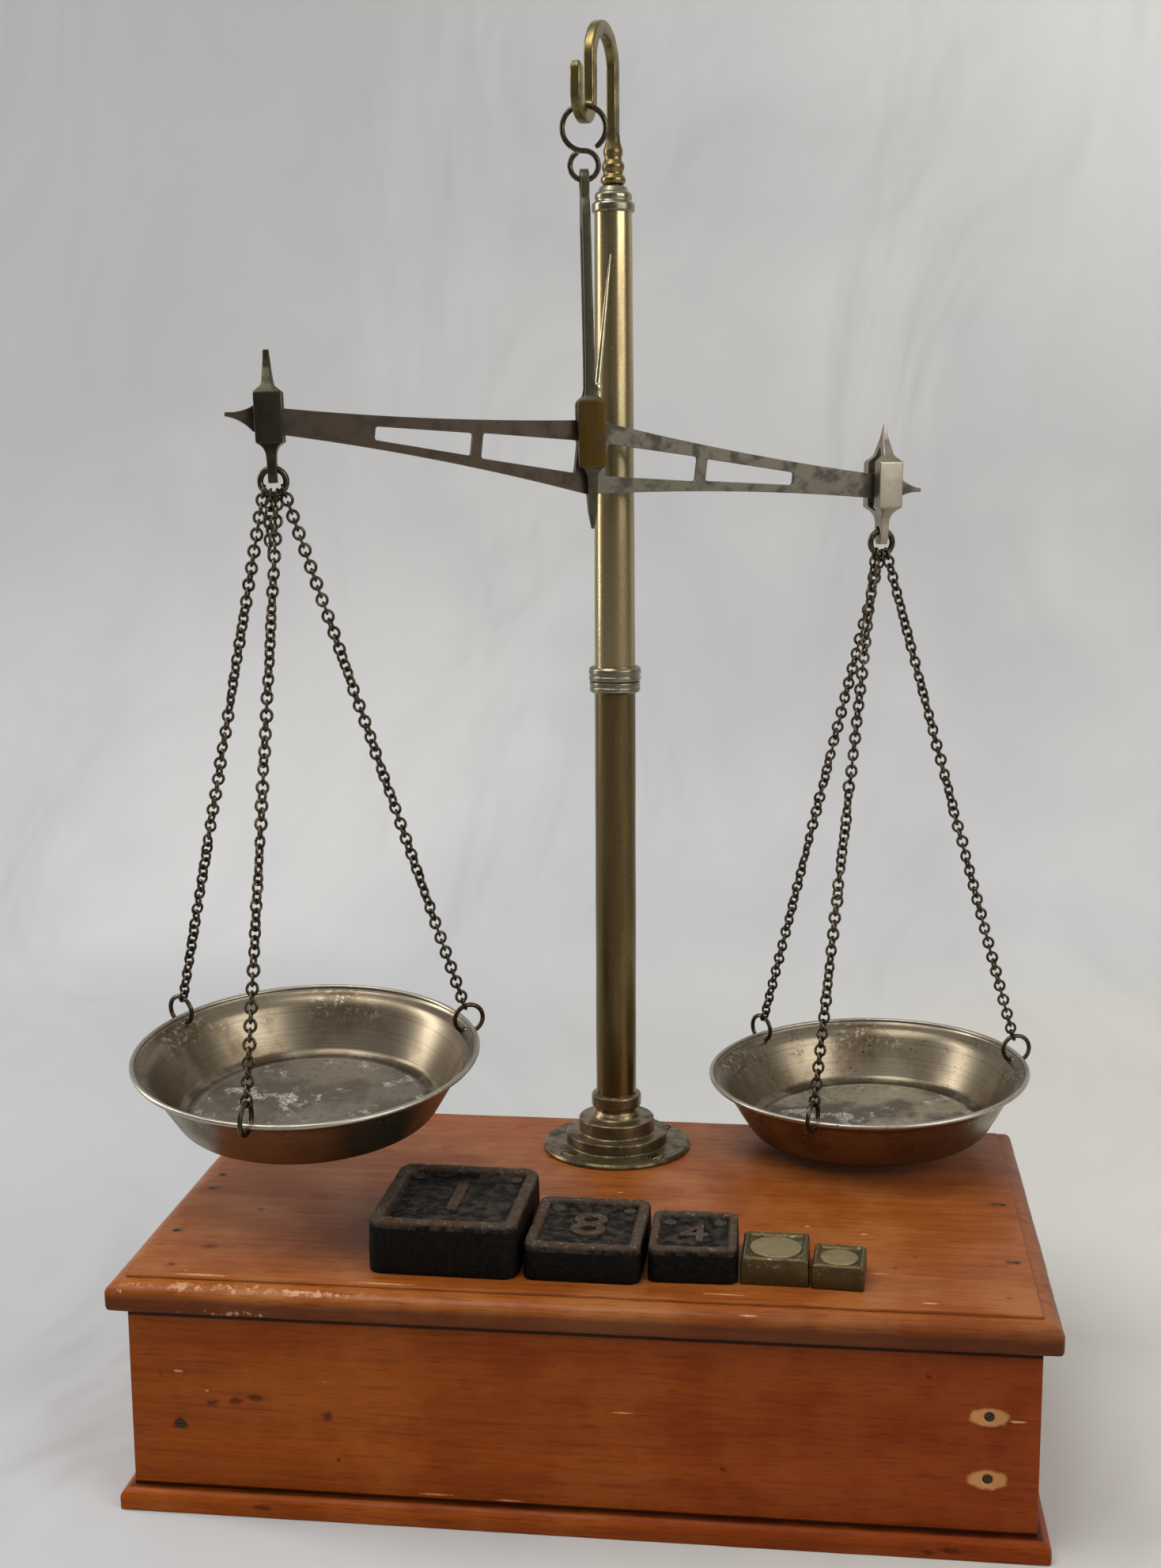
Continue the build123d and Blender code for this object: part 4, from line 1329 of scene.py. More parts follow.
    def build(self) -> None:
        """Builds the box and dresses it."""
        f = self.finishes
        keep(self.lid(), f.lid, "stand", "lid_wood", "lid_board")
        keep(self.base(), f.case, "stand", "case_wood", "base_board")
        boards = {
            "front_board": f.case, "back_board": f.case, "left_end_board": f.case_ends,
            "right_end_board": f.case_ends,
        }
        for node, finish in boards.items():
            keep(softened(node, 0.5), finish, "stand", "case_wood", node)
        paint("corner_blocks", f.bare_wood)
        heads, filler = self.screws()
        keep(heads, f.screw, "stand", "screw_steel", "front_screws")
        keep(filler, f.case, "stand", "case_wood")
        nail = eased([(0.2, -0.8), (1.5, -0.8), (1.55, 0.02), (1.2, 0.12), (0.2, 0.16)], 0.15)
        heads = [turned(nail, Place.upright(x, y, LID_TOP), 20) for x, y in self.nails]
        keep(solids("lid_nail_heads", heads), f.screw, "stand", "screw_steel", "lid_nails")


# The column


@dataclass
class Column:
    """The flange, both tubes, the collar, the cap and the crook."""

    finishes: Finishes
    y: float = 67.3
    collar_z: float = 326.0
    top: float = 535.4
    cap_height: float = 11.6
    lower_radius: float = 9.5
    upper_radius: float = 8.45
    screw_circle: float = 29.0
    screw_rise: float = 2.35
    screw_turns: tuple[tuple[int, int], ...] = ((45, 20), (135, 95), (225, 150), (315, 60))
    crook_angle: float = 13.0
    crook_reach: float = 37.9
    crook_eye: float = 8.6
    crook_stem_z: float = 566.0
    arch_z: float = 596.0
    eye_z: float = 579.0
    tip_z: float = 591.5

    def lathe(
        self, name: str, outline: Sequence[tuple[float, float]], z: float, ease: float
    ) -> Object:
        """Makes one turned piece on the column's axis.

        Args:
            name: The object's name.
            outline: Its radii and heights, from its underside to its top.
            z: The height that these start from.
            ease: How far from a corner its rounding starts.

        Returns:
            The piece.
        """
        return solid(name, turned(eased(outline, ease, 6), Place.upright(0, self.y, z), 128))

    def flange(self) -> Object:
        """Makes the foot: a thin disc, two steps with soft corners, a bead, a neck and a ring.

        Returns:
            The flange.
        """
        foot = self.lathe("flange", [
            (9.0, 0.02), (35.0, 0.02), (35.2, 1.3), (34.3, 2.5), (29.0, 2.35), (24.4, 2.5),
            (24.1, 3.0), (24.1, 7.4), (23.6, 7.95), (18.6, 8.1), (18.0, 8.6), (17.9, 14.5),
            (17.4, 15.0), (12.8, 15.1), (11.6, 15.9), (11.2, 17.0), (10.1, 18.6), (10.2, 20.3),
            (11.6, 20.7), (11.85, 21.5), (11.85, 25.7), (11.4, 26.6), (9.6, 27.0), (9.0, 26.9),
        ], LID_TOP, 0.45)
        sink = np.array([(0.3, -1.4), (4.1, -1.4), (4.1, 2.0), (0.3, 2.0)])
        sinks = [turned(sink, seat, 32) for seat in self.screw_seats()]
        return cut(foot, [solids("sinks", sinks)], 32.0)

    def screw_seats(self) -> list[Place]:
        """Finds where each flange screw sits, each slot at its own turn.

        Returns:
            Their places.
        """
        seats = []
        for turn, slot in self.screw_turns:
            x, y = (self.screw_circle * part for part in bearing(turn))
            seats.append(Place.upright(x, self.y + y, LID_TOP + self.screw_rise, slot))
        return seats

    def flange_screws(self) -> Object:
        """Makes the four slotted countersunk screws of the flange.

        Returns:
            The screws, as one piece.
        """
        head = eased([
            (0.2, -1.5), (2.4, -1.5), (3.4, -0.3), (3.4, 0.15), (2.6, 0.45), (0.2, 0.55),
        ], 0.25)
        bar = SoftLoop(3, 1).grid(np.array([[5.0, 0.5, 0.05, -0.5], [5.0, 0.5, 0.05, 2.0]]))
        seats = self.screw_seats()
        made = solids("flange_screw_heads", [turned(head, seat, 32) for seat in seats])
        return cut(made, [solids("slots", [seat.put(bar) for seat in seats])], 35.0)

    def tube(self, name: str, low: float, high: float, radius: float, end: float) -> Object:
        """Makes a tube, hardly wandering from straight.

        Args:
            name: The object's name.
            low: The height of its foot.
            high: The height of its end.
            radius: Its radius at the foot.
            end: Its radius at the end.

        Returns:
            The tube.
        """
        z = np.linspace(0, high - low, 60)
        outline = np.stack([radius + (end - radius) * z / z[-1], z], -1)
        grid = turned(outline, Place.upright(0, self.y, low))
        out = grid - np.array([0, self.y, 0])
        out[..., 2] = 0
        out /= np.linalg.norm(out, axis=-1, keepdims=True)
        return solid(name, grid + out * (waves(grid, 60.0, 11) * 0.04)[..., None], 50.0)

    def collar(self) -> tuple[Object, Object]:
        """Makes the collar's halves, with a fine gap between them.

        Returns:
            The lower half and the upper half.
        """
        lower = self.lathe("collar_below", [
            (9.0, -5.4), (10.6, -5.4), (11.7, -4.6), (11.75, -2.9), (11.3, -2.4), (11.75, -1.9),
            (11.7, -0.45), (11.3, -0.12), (9.0, -0.12),
        ], self.collar_z, 0.35)
        upper = self.lathe("collar_above", [
            (9.0, 0.12), (11.6, 0.12), (12.0, 0.5), (12.05, 2.2), (11.6, 2.6), (11.6, 3.0),
            (12.05, 3.4), (12.0, 5.6), (11.2, 6.7), (9.0, 6.8),
        ], self.collar_z, 0.35)
        return lower, upper

    def cap(self) -> Object:
        """Makes the cap: a wide rim, a hollow, a second rim and a low dome."""
        return self.lathe("cap", [
            (7.0, -0.3), (9.2, -0.3), (9.65, 0.3), (9.65, 3.2), (9.2, 4.0), (8.4, 4.3), (8.0, 5.0),
            (8.35, 5.8), (8.35, 7.2), (7.8, 8.3), (6.9, 8.8), (6.3, 10.2), (5.4, 11.2),
            (4.0, self.cap_height), (0.4, self.cap_height),
        ], self.top, 0.45)

    def crook_line(self) -> tuple[np.ndarray, np.ndarray]:
        """Works out the bar's line.

        It is a straight rise, a half circle over to the near side, a straight fall, a half circle
        under and a short rise to the tip, at even steps of length.

        Returns:
            Rows of distance out and height, and the bar's half thickness at each.
        """
        reach, eye = self.crook_reach, self.crook_eye
        near, far = reach - eye, reach + eye
        over, under = np.linspace(pi, 0, 40)[1:-1], np.linspace(pi, 2 * pi, 26)[1:-1]
        line = np.vstack([
            np.linspace((0, self.crook_stem_z), (0, self.arch_z), 12),
            np.stack([near / 2 * (1 + np.cos(over)), self.arch_z + near / 2 * np.sin(over)], -1),
            np.linspace((near, self.arch_z), (near, self.eye_z), 8),
            np.stack([reach + eye * np.cos(under), self.eye_z + eye * np.sin(under)], -1),
            np.linspace((far, self.eye_z), (far, self.tip_z), 6),
        ])
        run = np.concatenate([[0], np.cumsum(np.linalg.norm(np.diff(line, axis=0), axis=1))])
        even = np.linspace(0, run[-1], 150)
        path = np.stack([np.interp(even, run, line[:, 0]), np.interp(even, run, line[:, 1])], -1)
        s = even / run[-1]
        half = 3.0 - 0.35 * np.clip((s - 0.55) / 0.45, 0, 1)
        return path, half

    def crook(self) -> Object:
        """Makes the crook's flat bar: a rounded rectangle carried along its line.

        Returns:
            The bar.
        """
        path, half = self.crook_line()
        tangent = np.gradient(path, axis=0)
        tangent /= np.linalg.norm(tangent, axis=1)[:, None]
        side = np.stack([-tangent[:, 1], tangent[:, 0]], -1)
        rows = np.stack([half, 2.25 + 0 * half, 0.9 + 0 * half, 0 * half], -1)
        section = SoftLoop(5, 2).grid(rows)
        tip = np.clip((len(path) - 1 - np.arange(len(path))) / 2.5, 0, 1)
        section *= np.sqrt(0.25 + 0.75 * tip)[:, None, None]
        place = Place.upright(0, self.y, 0, 270 - self.crook_angle)
        x, z = (path[:, None, k] + side[:, None, k] * section[..., 0] for k in (0, 1))
        return solid("crook", place.put(np.stack([x, -section[..., 1], z], -1))[:, ::-1], 40.0)

    def stem(self) -> Object:
        """Makes the crook's baluster stem."""
        return self.lathe("crook_stem", [
            (0.4, 0.0), (4.6, 0.0), (5.7, 1.4), (5.6, 3.0), (4.4, 4.4), (4.3, 5.4), (5.1, 7.2),
            (5.1, 8.6), (4.0, 10.4), (3.8, 11.8), (4.4, 13.6), (4.3, 15.0), (3.3, 18.0),
            (2.9, 22.0), (0.4, 23.0),
        ], self.top + self.cap_height, 0.9)

    def build(self) -> None:
        """Builds the column and dresses it."""
        f = self.finishes
        keep(self.flange(), f.flange, "stand", "flange_brass", "column_flange")
        wide = self.lower_radius
        lower = self.tube("lower_tube_skin", LID_TOP, self.collar_z, wide, wide)
        keep(lower, f.lower_tube, "stand", "column_brass", "lower_tube")
        upper = self.tube(
            "upper_tube_skin", self.collar_z, self.top, wide - 0.05, self.upper_radius
        )
        keep(upper, f.upper_tube, "stand", "column_brass", "upper_tube")
        for piece, node in zip(self.collar(), ("lower_collar", "upper_collar")):
            keep(piece, f.collar, "stand", "collar_brass", node)
        keep(self.cap(), f.collar, "stand", "collar_brass", "column_cap")
        keep(self.crook(), f.crook, "stand", "crook_brass", "crook_hook")
        keep(self.stem(), f.crook, "stand", "crook_brass")
        paint("tube_spigot", f.lower_tube)
        keep(self.flange_screws(), f.crook, "stand", "screw_steel", "flange_screws")


# The hanging gear


@dataclass(frozen=True)
class Forging:
    """A filed forging, given by its half width and half depth against its own height."""

    name: str
    width: tuple[tuple[float, float], ...]
    depth: tuple[tuple[float, float], ...]
    slot: tuple[tuple[float, float], ...]
    eye: tuple[float, float]
    pocket: tuple[float, float, float, float, float]
    ease: float = 0.7

    def rows(self) -> np.ndarray:
        """Brings both outlines together.

        Returns:
            Half width, half depth, corner radius and height, at each height of either.
        """
        wide, deep = (eased(outline, self.ease, 6) for outline in (self.width, self.depth))
        z = np.unique(np.round(np.concatenate([wide[:, 1], deep[:, 1]]), 3))
        half_x, half_y = (np.interp(z, line[:, 1], line[:, 0]) for line in (wide, deep))
        corner = np.minimum(0.45, 0.8 * np.minimum(half_x, half_y))
        return np.stack([half_x, half_y, corner, z], -1)

    def make(self, place: Place) -> Object:
        """Makes the forging: the body, less the slot through it, its eye and its two pockets.

        Args:
            place: Where the forging sits.

        Returns:
            The forging.
        """
        body = solid(self.name, place.put(SoftLoop(5, 2).grid(self.rows())), 28.0)
        turn = Place(place.origin, np.array([place.axes[1], -place.axes[0], place.axes[2]]))
        right = np.array(self.slot)
        both = eased(np.vstack([right, right[-2::-1] * np.array([-1.0, 1.0])]), 0.8, 5)[:-1]
        a = np.linspace(0, FULL_TURN, 32, endpoint=False)
        eye_z, eye_radius = self.eye
        circle = np.stack([eye_radius * np.cos(a), eye_z + eye_radius * np.sin(a)], -1)
        tools = [prism("slot", both, 20.0, turn), prism("eye", circle, 20.0, turn)]
        half_x, inner, outer, low, high = self.pocket
        half_y, middle = (outer - inner) / 2, (inner + outer) / 2
        block = SoftLoop(2, 1).grid(np.array([
            [half_x, half_y, 0.05, low], [half_x, half_y, 0.05, high]
        ]))
        tools += [solid("pocket", place.put(block + [0, side * middle, 0])) for side in (-1, 1)]
        return cut(body, tools, 28.0)


SHEARS = Forging(
    "shears_forging",
    width=(
        (0.7, -32.6), (1.9, -25.0), (2.1, -14.0), (2.4, -9.4), (3.6, -7.0), (5.85, -5.5),
        (5.85, 21.4), (4.9, 23.0), (2.9, 24.4), (2.2, 27.5), (2.0, 40.0), (1.8, 95.0), (1.8, 119.3),
    ),
    depth=(
        (0.6, -32.6), (2.1, -29.0), (4.4, -22.0), (6.1, -16.0), (6.9, -11.0), (7.0, -7.5),
        (8.2, -5.5), (8.2, 22.4), (7.0, 24.5), (7.0, 100.5), (5.4, 104.5), (3.6, 107.2),
        (3.8, 109.2), (5.2, 111.4), (5.6, 113.7), (5.3, 115.6), (4.2, 117.5), (2.4, 118.8),
        (0.8, 119.3),
    ),
    slot=(
        (0.0, -24.0), (1.4, -21.0), (3.0, -16.0), (4.0, -11.0), (4.2, -7.0), (3.2, -5.0),
        (3.2, 22.0), (4.2, 24.0), (4.2, 92.0), (2.4, 95.0), (0.0, 97.0),
    ),
    eye=(113.71, 2.6),
    pocket=(4.3, 3.1, 7.2, -3.2, 6.2),
)


def stirrup_forging(name: str, tip: float) -> Forging:
    """Describes a stirrup: its spire, housing and tang.

    Args:
        name: The object's name.
        tip: The half width of its spire's end.

    Returns:
        The forging.
    """
    return Forging(
        name,
        width=(
            (1.87, -26.7), (2.0, -18.0), (2.15, -14.4), (2.9, -12.3), (4.2, -10.9), (5.75, -10.0),
            (5.75, 10.6), (4.0, 12.0), (2.4, 13.4), (2.1, 16.0), (tip, 27.8),
        ),
        depth=(
            (2.4, -26.7), (3.6, -24.0), (3.6, -17.0), (4.4, -14.6), (6.4, -12.2), (9.0, -10.2),
            (9.0, 10.4), (7.4, 12.2), (5.8, 14.2), (4.0, 17.6), (2.2, 20.6), (1.0, 24.2),
            (0.4, 27.8),
        ),
        slot=(
            (0.0, -12.0), (2.4, -10.4), (3.6, -8.0), (3.6, 10.5), (2.6, 13.6), (1.2, 16.2),
            (0.0, 17.6),
        ),
        eye=(-20.5, 2.1),
        pocket=(4.4, 3.5, 8.0, -6.2, 3.2),
    )


@dataclass
class Beam:
    """The pierced plate with its end blocks and flared, pointed ends."""

    arm: float = 139.9
    thickness: float = 3.2
    block_inset: float = 2.9
    block_end: float = 6.3
    reach: float = 18.5
    windows: tuple[tuple[tuple[float, ...], tuple[float, ...]], ...] = (
        ((6.8, 4.8, -9.2), (49.0, 3.5, -7.2)), ((53.5, 3.0, -6.6), (95.5, 1.3, -4.3)),
    )

    def outline(self) -> np.ndarray:
        """Draws the plate's outline; its left half is the right one seen in a mirror.

        Returns:
            The closed outline.
        """
        block, end = self.arm - self.block_inset, self.arm + self.block_end
        tip = self.arm + self.reach
        right = np.vstack([
            arc((0, 14.4), (80, 6.8), (block, 4.5), 24),
            arc((end, 5.2), (end + 4.4, 2.3), (tip, 0.5), 14),
            arc((tip, -1.3), (end + 4.4, -3.2), (end, -6.3), 14),
            arc((block, -6.3), (68, -9.9), (0, -17.8), 24),
        ])
        return np.vstack([right, (right * np.array([-1.0, 1.0]))[-2:0:-1]])[::-1]

    def window(self, start: tuple, end: tuple) -> np.ndarray:
        """Draws an opening with eased corners.

        Args:
            start: Its inner end's x, top and bottom.
            end: Its outer end's.

        Returns:
            The closed outline.
        """
        (x0, top0, low0), (x1, top1, low1) = start, end
        middle = ((x0 + x1) / 2, (top0 + top1) / 2)
        return eased([middle, (x0, top0), (x0, low0), (x1, low1), (x1, top1), middle], 1.3, 6)[:-1]

    def make(self, place: Place) -> Object:
        """Makes the plate, pierced and with softened edges.

        Args:
            place: The beam's place.

        Returns:
            The plate.
        """
        plate = prism("beam_plate", self.outline(), self.thickness / 2, place)
        tools = []
        for start, end in self.windows:
            hole = self.window(start, end)
            tools.append(prism("window", hole, 6.0, place))
            tools.append(prism("window", (hole * np.array([-1.0, 1.0]))[::-1], 6.0, place))
        cut(plate, tools)
        ease_edges(plate, 0.35, 40.0)
        return plate


@dataclass
class Gear:
    """The S hook, the shears, the beam, its knives and pointer, and the stirrups."""

    finishes: Finishes
    shears_place: Place
    beam_place: Place
    hook_place: Place
    left_place: Place
    right_place: Place
    upper_radius: float = 9.3
    lower_radius: float = 6.05
    wire: float = 1.15

    def s_hook(self) -> Object:
        """Makes the S hook: one wire in two arcs that meet level, blunt at both ends.

        Returns:
            The hook.
        """
        upper = np.radians(np.linspace(-58, 270, 84))
        lower = np.radians(np.linspace(450, 114, 60))[1:]
        line = np.vstack([
            self.upper_radius * np.stack([np.cos(upper), np.sin(upper) + 1], -1),
            self.lower_radius * np.stack([np.cos(lower), np.sin(lower) - 1], -1),
        ])
        path = np.stack([line[:, 0], 0 * line[:, 0], line[:, 1]], -1)
        ends = np.minimum(np.arange(len(path)), np.arange(len(path))[::-1])
        radius = self.wire * np.sqrt(np.clip(0.45 + ends * 0.3, 0, 1))
        grid = planar_tube(path, np.array([0.0, 1.0, 0.0]), radius)
        return solid("s_hook_wire", self.hook_place.put(grid), 50.0)

    def pointer(self) -> Object:
        """Makes the pointer: a fine tapered needle above a small collar."""
        outline = eased([
            (0.2, 14.0), (1.1, 14.0), (1.1, 27.0), (1.9, 27.2), (2.0, 28.4), (1.8, 29.5),
            (1.35, 30.2), (1.3, 34.0), (0.9, 60.0), (0.35, 84.5), (0.1, 85.0),
        ], 0.4)
        return solid("pointer_needle", turned(outline, self.beam_place, 24))

    def build(self) -> None:
        """Builds the gear and dresses it."""
        f = self.finishes
        keep(self.s_hook(), f.dark, "hook", "dark_bronze", "s_hook")
        keep(SHEARS.make(self.shears_place), f.shears, "shears", "shears_metal", "shears")
        keep(Beam().make(self.beam_place), f.beam, "beam", "beam_metal", "beam")
        keep(self.pointer(), f.needle, "beam", "beam_metal", "pointer")
        left = stirrup_forging("left_stirrup_forging", 1.25).make(self.left_place)
        right = stirrup_forging("right_stirrup_forging", 0.5).make(self.right_place)
        keep(left, f.stirrup_dark, "left_stirrup", "stirrup_dark", "stirrup_left")
        keep(right, f.stirrup_pale, "right_stirrup", "stirrup_pale", "stirrup_right")
        for node in (
            "centre_knife", "end_knife_left", "end_knife_right",
            "shears_bearings", "stirrup_left_bearings", "stirrup_right_bearings",
        ):
            paint(node, f.steel)


class Side(Enum):
    """Which pan."""

    LEFT = "left"
    RIGHT = "right"


@dataclass
class HungPan:
    """One pan with its main ring, eye rings and chains."""

    side: Side
    place: Place
    stirrup: Place
    metal: Material
    wire_metal: Material
    eye_angles: tuple[float, ...]
    offsets: tuple[float, ...]
    tail_offset: float | None = None
    radius: float = 76.1
    roll: float = 1.15
    ring_radius: float = 5.4
    ring_wire: float = 1.35
    ring_z: float = -26.0129
    eye_radius: float = 6.55
    eye_wire: float = 1.05
    eye_circle: float = 74.9
    eye_rise: float = 2.3
    hole_circle: float = 72.0
    hole_radius: float = 1.7
    link_half: float = 2.28
    link_stretch: float = 0.24
    link_wire: float = 0.66
    wander: float = 0.75

    def pan(self) -> Object:
        """Makes the spun pan: floor with a turned ring, sloping wall, groove and rolled rim.

        Returns:
            The pan.
        """
        rim = self.radius - self.roll
        a = np.radians(np.linspace(-80, 200, 18))
        roll = np.stack([rim + self.roll * np.cos(a), -0.72 + self.roll * np.sin(a)], -1)
        outside = eased([
            (0.4, -28.0), (50.0, -28.0), (54.5, -27.9), (57.2, -26.3), (62.8, -16.8), (68.5, -6.7),
            (70.0, -4.7), (73.0, -3.2), (74.6, -2.35),
        ], 1.6, 7)
        inside = eased([
            (rim - 1.0, -1.25), (73.2, -2.35), (70.1, -3.75), (67.9, -6.1), (62.3, -16.2),
            (56.9, -25.4), (54.2, -27.0), (51.4, -27.2), (50.6, -26.85), (49.8, -27.2),
            (20.0, -27.15), (0.4, -27.1),
        ], 1.4, 7)
        outline = np.vstack([outside, roll, inside])
        grid = turned(outline, self.place, 192)
        a = np.linspace(0, FULL_TURN, 192, endpoint=False)
        uneven = 0.18 * np.sin(2 * a + 0.7) + 0.10 * np.sin(3 * a + 1.9)
        lift = np.clip((outline[:, 0] - 55) / 20, 0, 1)[:, None] * uneven
        grid = grid + lift[..., None] * self.place.axes[2]
        made = solid(f"{self.side.value}_pan_sheet", grid, 50.0)
        drill = np.array([(self.hole_radius, -7.0), (self.hole_radius, 0.5)])
        tools = []
        for angle in self.eye_angles:
            c, s = bearing(angle)
            centre = self.place.put(np.array([self.hole_circle * c, self.hole_circle * s, 0.0]))
            tools.append(solid("hole", turned(drill, Place(centre, self.place.axes), 20)))
        return cut(made, tools, 50.0)

    def main_ring(self) -> Object:
        """Makes the ring in the stirrup's tang, which stands in the stirrup's XZ plane.

        Returns:
            The ring.
        """
        grid = upright_ring(self.ring_radius, self.ring_wire, 64, 16)
        grid[..., 2] += self.ring_z
        return rings(f"{self.side.value}_main_ring", [self.stirrup.put(grid)])

    def eye_places(self) -> list[Place]:
        """Finds the place of each eye ring: X outward, Z along the pan's axis.

        Returns:
            Their places.
        """
        made = []
        for angle in self.eye_angles:
            c, s = bearing(angle)
            local = np.array([self.eye_circle * c, self.eye_circle * s, self.eye_rise])
            made.append(Place(self.place.put(local), turned_axes(angle) @ self.place.axes))
        return made

    def eye_rings(self) -> Object:
        """Makes the three eye rings as one piece; each stands in its plane through the axis.

        Returns:
            The rings.
        """
        grid = upright_ring(self.eye_radius, self.eye_wire, 48, 12)
        wires = [spot.put(grid) for spot in self.eye_places()]
        return rings(f"{self.side.value}_eye_ring_wires", wires)

    @property
    def link_reach(self) -> float:
        """Returns how far a link's wire is from its middle along the chain."""
        return self.link_half + self.link_stretch

    def links(
        self, name: str, start: np.ndarray, end: np.ndarray, first: np.ndarray, last: np.ndarray,
        seed: int,
    ) -> Object:
        """Makes a chain of nearly round links pulled straight.

        Link k is an oval ring at start + k pitch along the run. Its plane holds the run, a quarter
        turn on from the link before, plus an even share of what brings the last link square to its
        own wire, plus a slow wander that is nothing at both ends.

        Args:
            name: The object's name.
            start: The middle of the first link.
            end: The middle of the last link.
            first: The direction that the first link's plane is square to.
            last: The direction that the last link's plane is square to.
            seed: The seed of the chance turns.

        Returns:
            The chain as one object.
        """
        run = end - start
        length = np.linalg.norm(run)
        way = run / length
        count = int(round(length / (2 * (self.link_reach - self.link_wire)))) + 1
        chance = np.random.default_rng(seed)
        across = unit(first - way * (first @ way))
        other = np.cross(way, across)
        s = np.linspace(0, 1, count)
        rest = np.arctan2(last @ other, last @ across) - (count - 1) * pi / 2
        rest = (rest + pi / 2) % pi - pi / 2
        free = np.sin(pi * s)
        slow = np.sin(FULL_TURN * (s * chance.uniform(1.2, 2.2) + chance.uniform(0, 1)))
        small = chance.normal(0, 0.24, count)
        turn = np.arange(count) * pi / 2 + s * rest + free * (self.wander * slow + small)
        normal = np.cos(turn)[:, None] * across + np.sin(turn)[:, None] * other
        lean = (chance.normal(0, 0.05, count) * free)[:, None]
        forward = way + lean * np.cross(normal, way)
        forward /= np.linalg.norm(forward, axis=1)[:, None]
        shift = chance.normal(0, 0.08, (count, 3)) * free[:, None]
        middle = start + s[:, None] * run + shift
        link = torus(self.link_half, self.link_wire, 14, 6)
        link[..., 0] *= self.link_reach / self.link_half
        axes = np.stack([forward, np.cross(normal, forward), normal], 1)
        grids = middle[:, None, None] + np.einsum("uvk,nkc->nuvc", link, axes)
        return rings(name, grids, 80.0)

    def ring_seat(self, offset: float) -> tuple[np.ndarray, np.ndarray]:
        """Finds where a link hangs on the main ring.

        Args:
            offset: How far along the ring's own X the link hangs.

        Returns:
            The link's middle, and the way of the ring's wire there.
        """
        down = -sqrt(self.ring_radius**2 - offset**2)
        spoke = unit((offset, 0.0, down))
        hang = self.ring_radius + self.link_reach - self.link_wire - self.ring_wire
        middle = self.stirrup.put(spoke * hang + np.array([0, 0, self.ring_z]))
        return middle, unit((-down, 0.0, offset)) @ self.stirrup.axes

    def eye_seat(self, eye: Place, start: np.ndarray) -> tuple[np.ndarray, np.ndarray]:
        """Finds where a link hangs on an eye ring.

        Args:
            eye: The eye ring's place.
            start: The point that the chain pulls it towards.

        Returns:
            The link's middle, and the way of the ring's wire there.
        """
        pull = unit(start - eye.origin)
        hang = self.eye_radius + self.link_reach - self.link_wire - self.eye_wire
        return eye.origin + pull * hang, unit(np.cross(eye.axes[1], pull))

    def build(self) -> None:
        """Builds the pan and what carries it, and dresses them."""
        name, body = self.side.value, f"{self.side.value}_pan"
        keep(self.pan(), self.metal, body, "pan_metal", f"pan_{name}")
        keep(self.main_ring(), self.wire_metal, body, "dark_bronze", f"main_ring_{name}")
        keep(self.eye_rings(), self.wire_metal, body, "dark_bronze", f"eye_rings_{name}")
        for k, (offset, eye) in enumerate(zip(self.offsets, self.eye_places())):
            start, first = self.ring_seat(offset)
            end, last = self.eye_seat(eye, start)
            chain = self.links(f"{name}_chain_{k + 1}_links", start, end, first, last, 40 + k)
            keep(chain, self.wire_metal, body, "dark_bronze", f"chain_{name}_{k + 1}")
        if self.tail_offset is not None:
            start, first = self.ring_seat(self.tail_offset)
            end = start + np.array([-1.6, 1.0, -12 * (self.link_reach - self.link_wire)])
            tail = self.links(f"{name}_tail_links", start, end, first, first, 77)
            keep(tail, self.wire_metal, body, "dark_bronze", "balance_tail")


# The weights


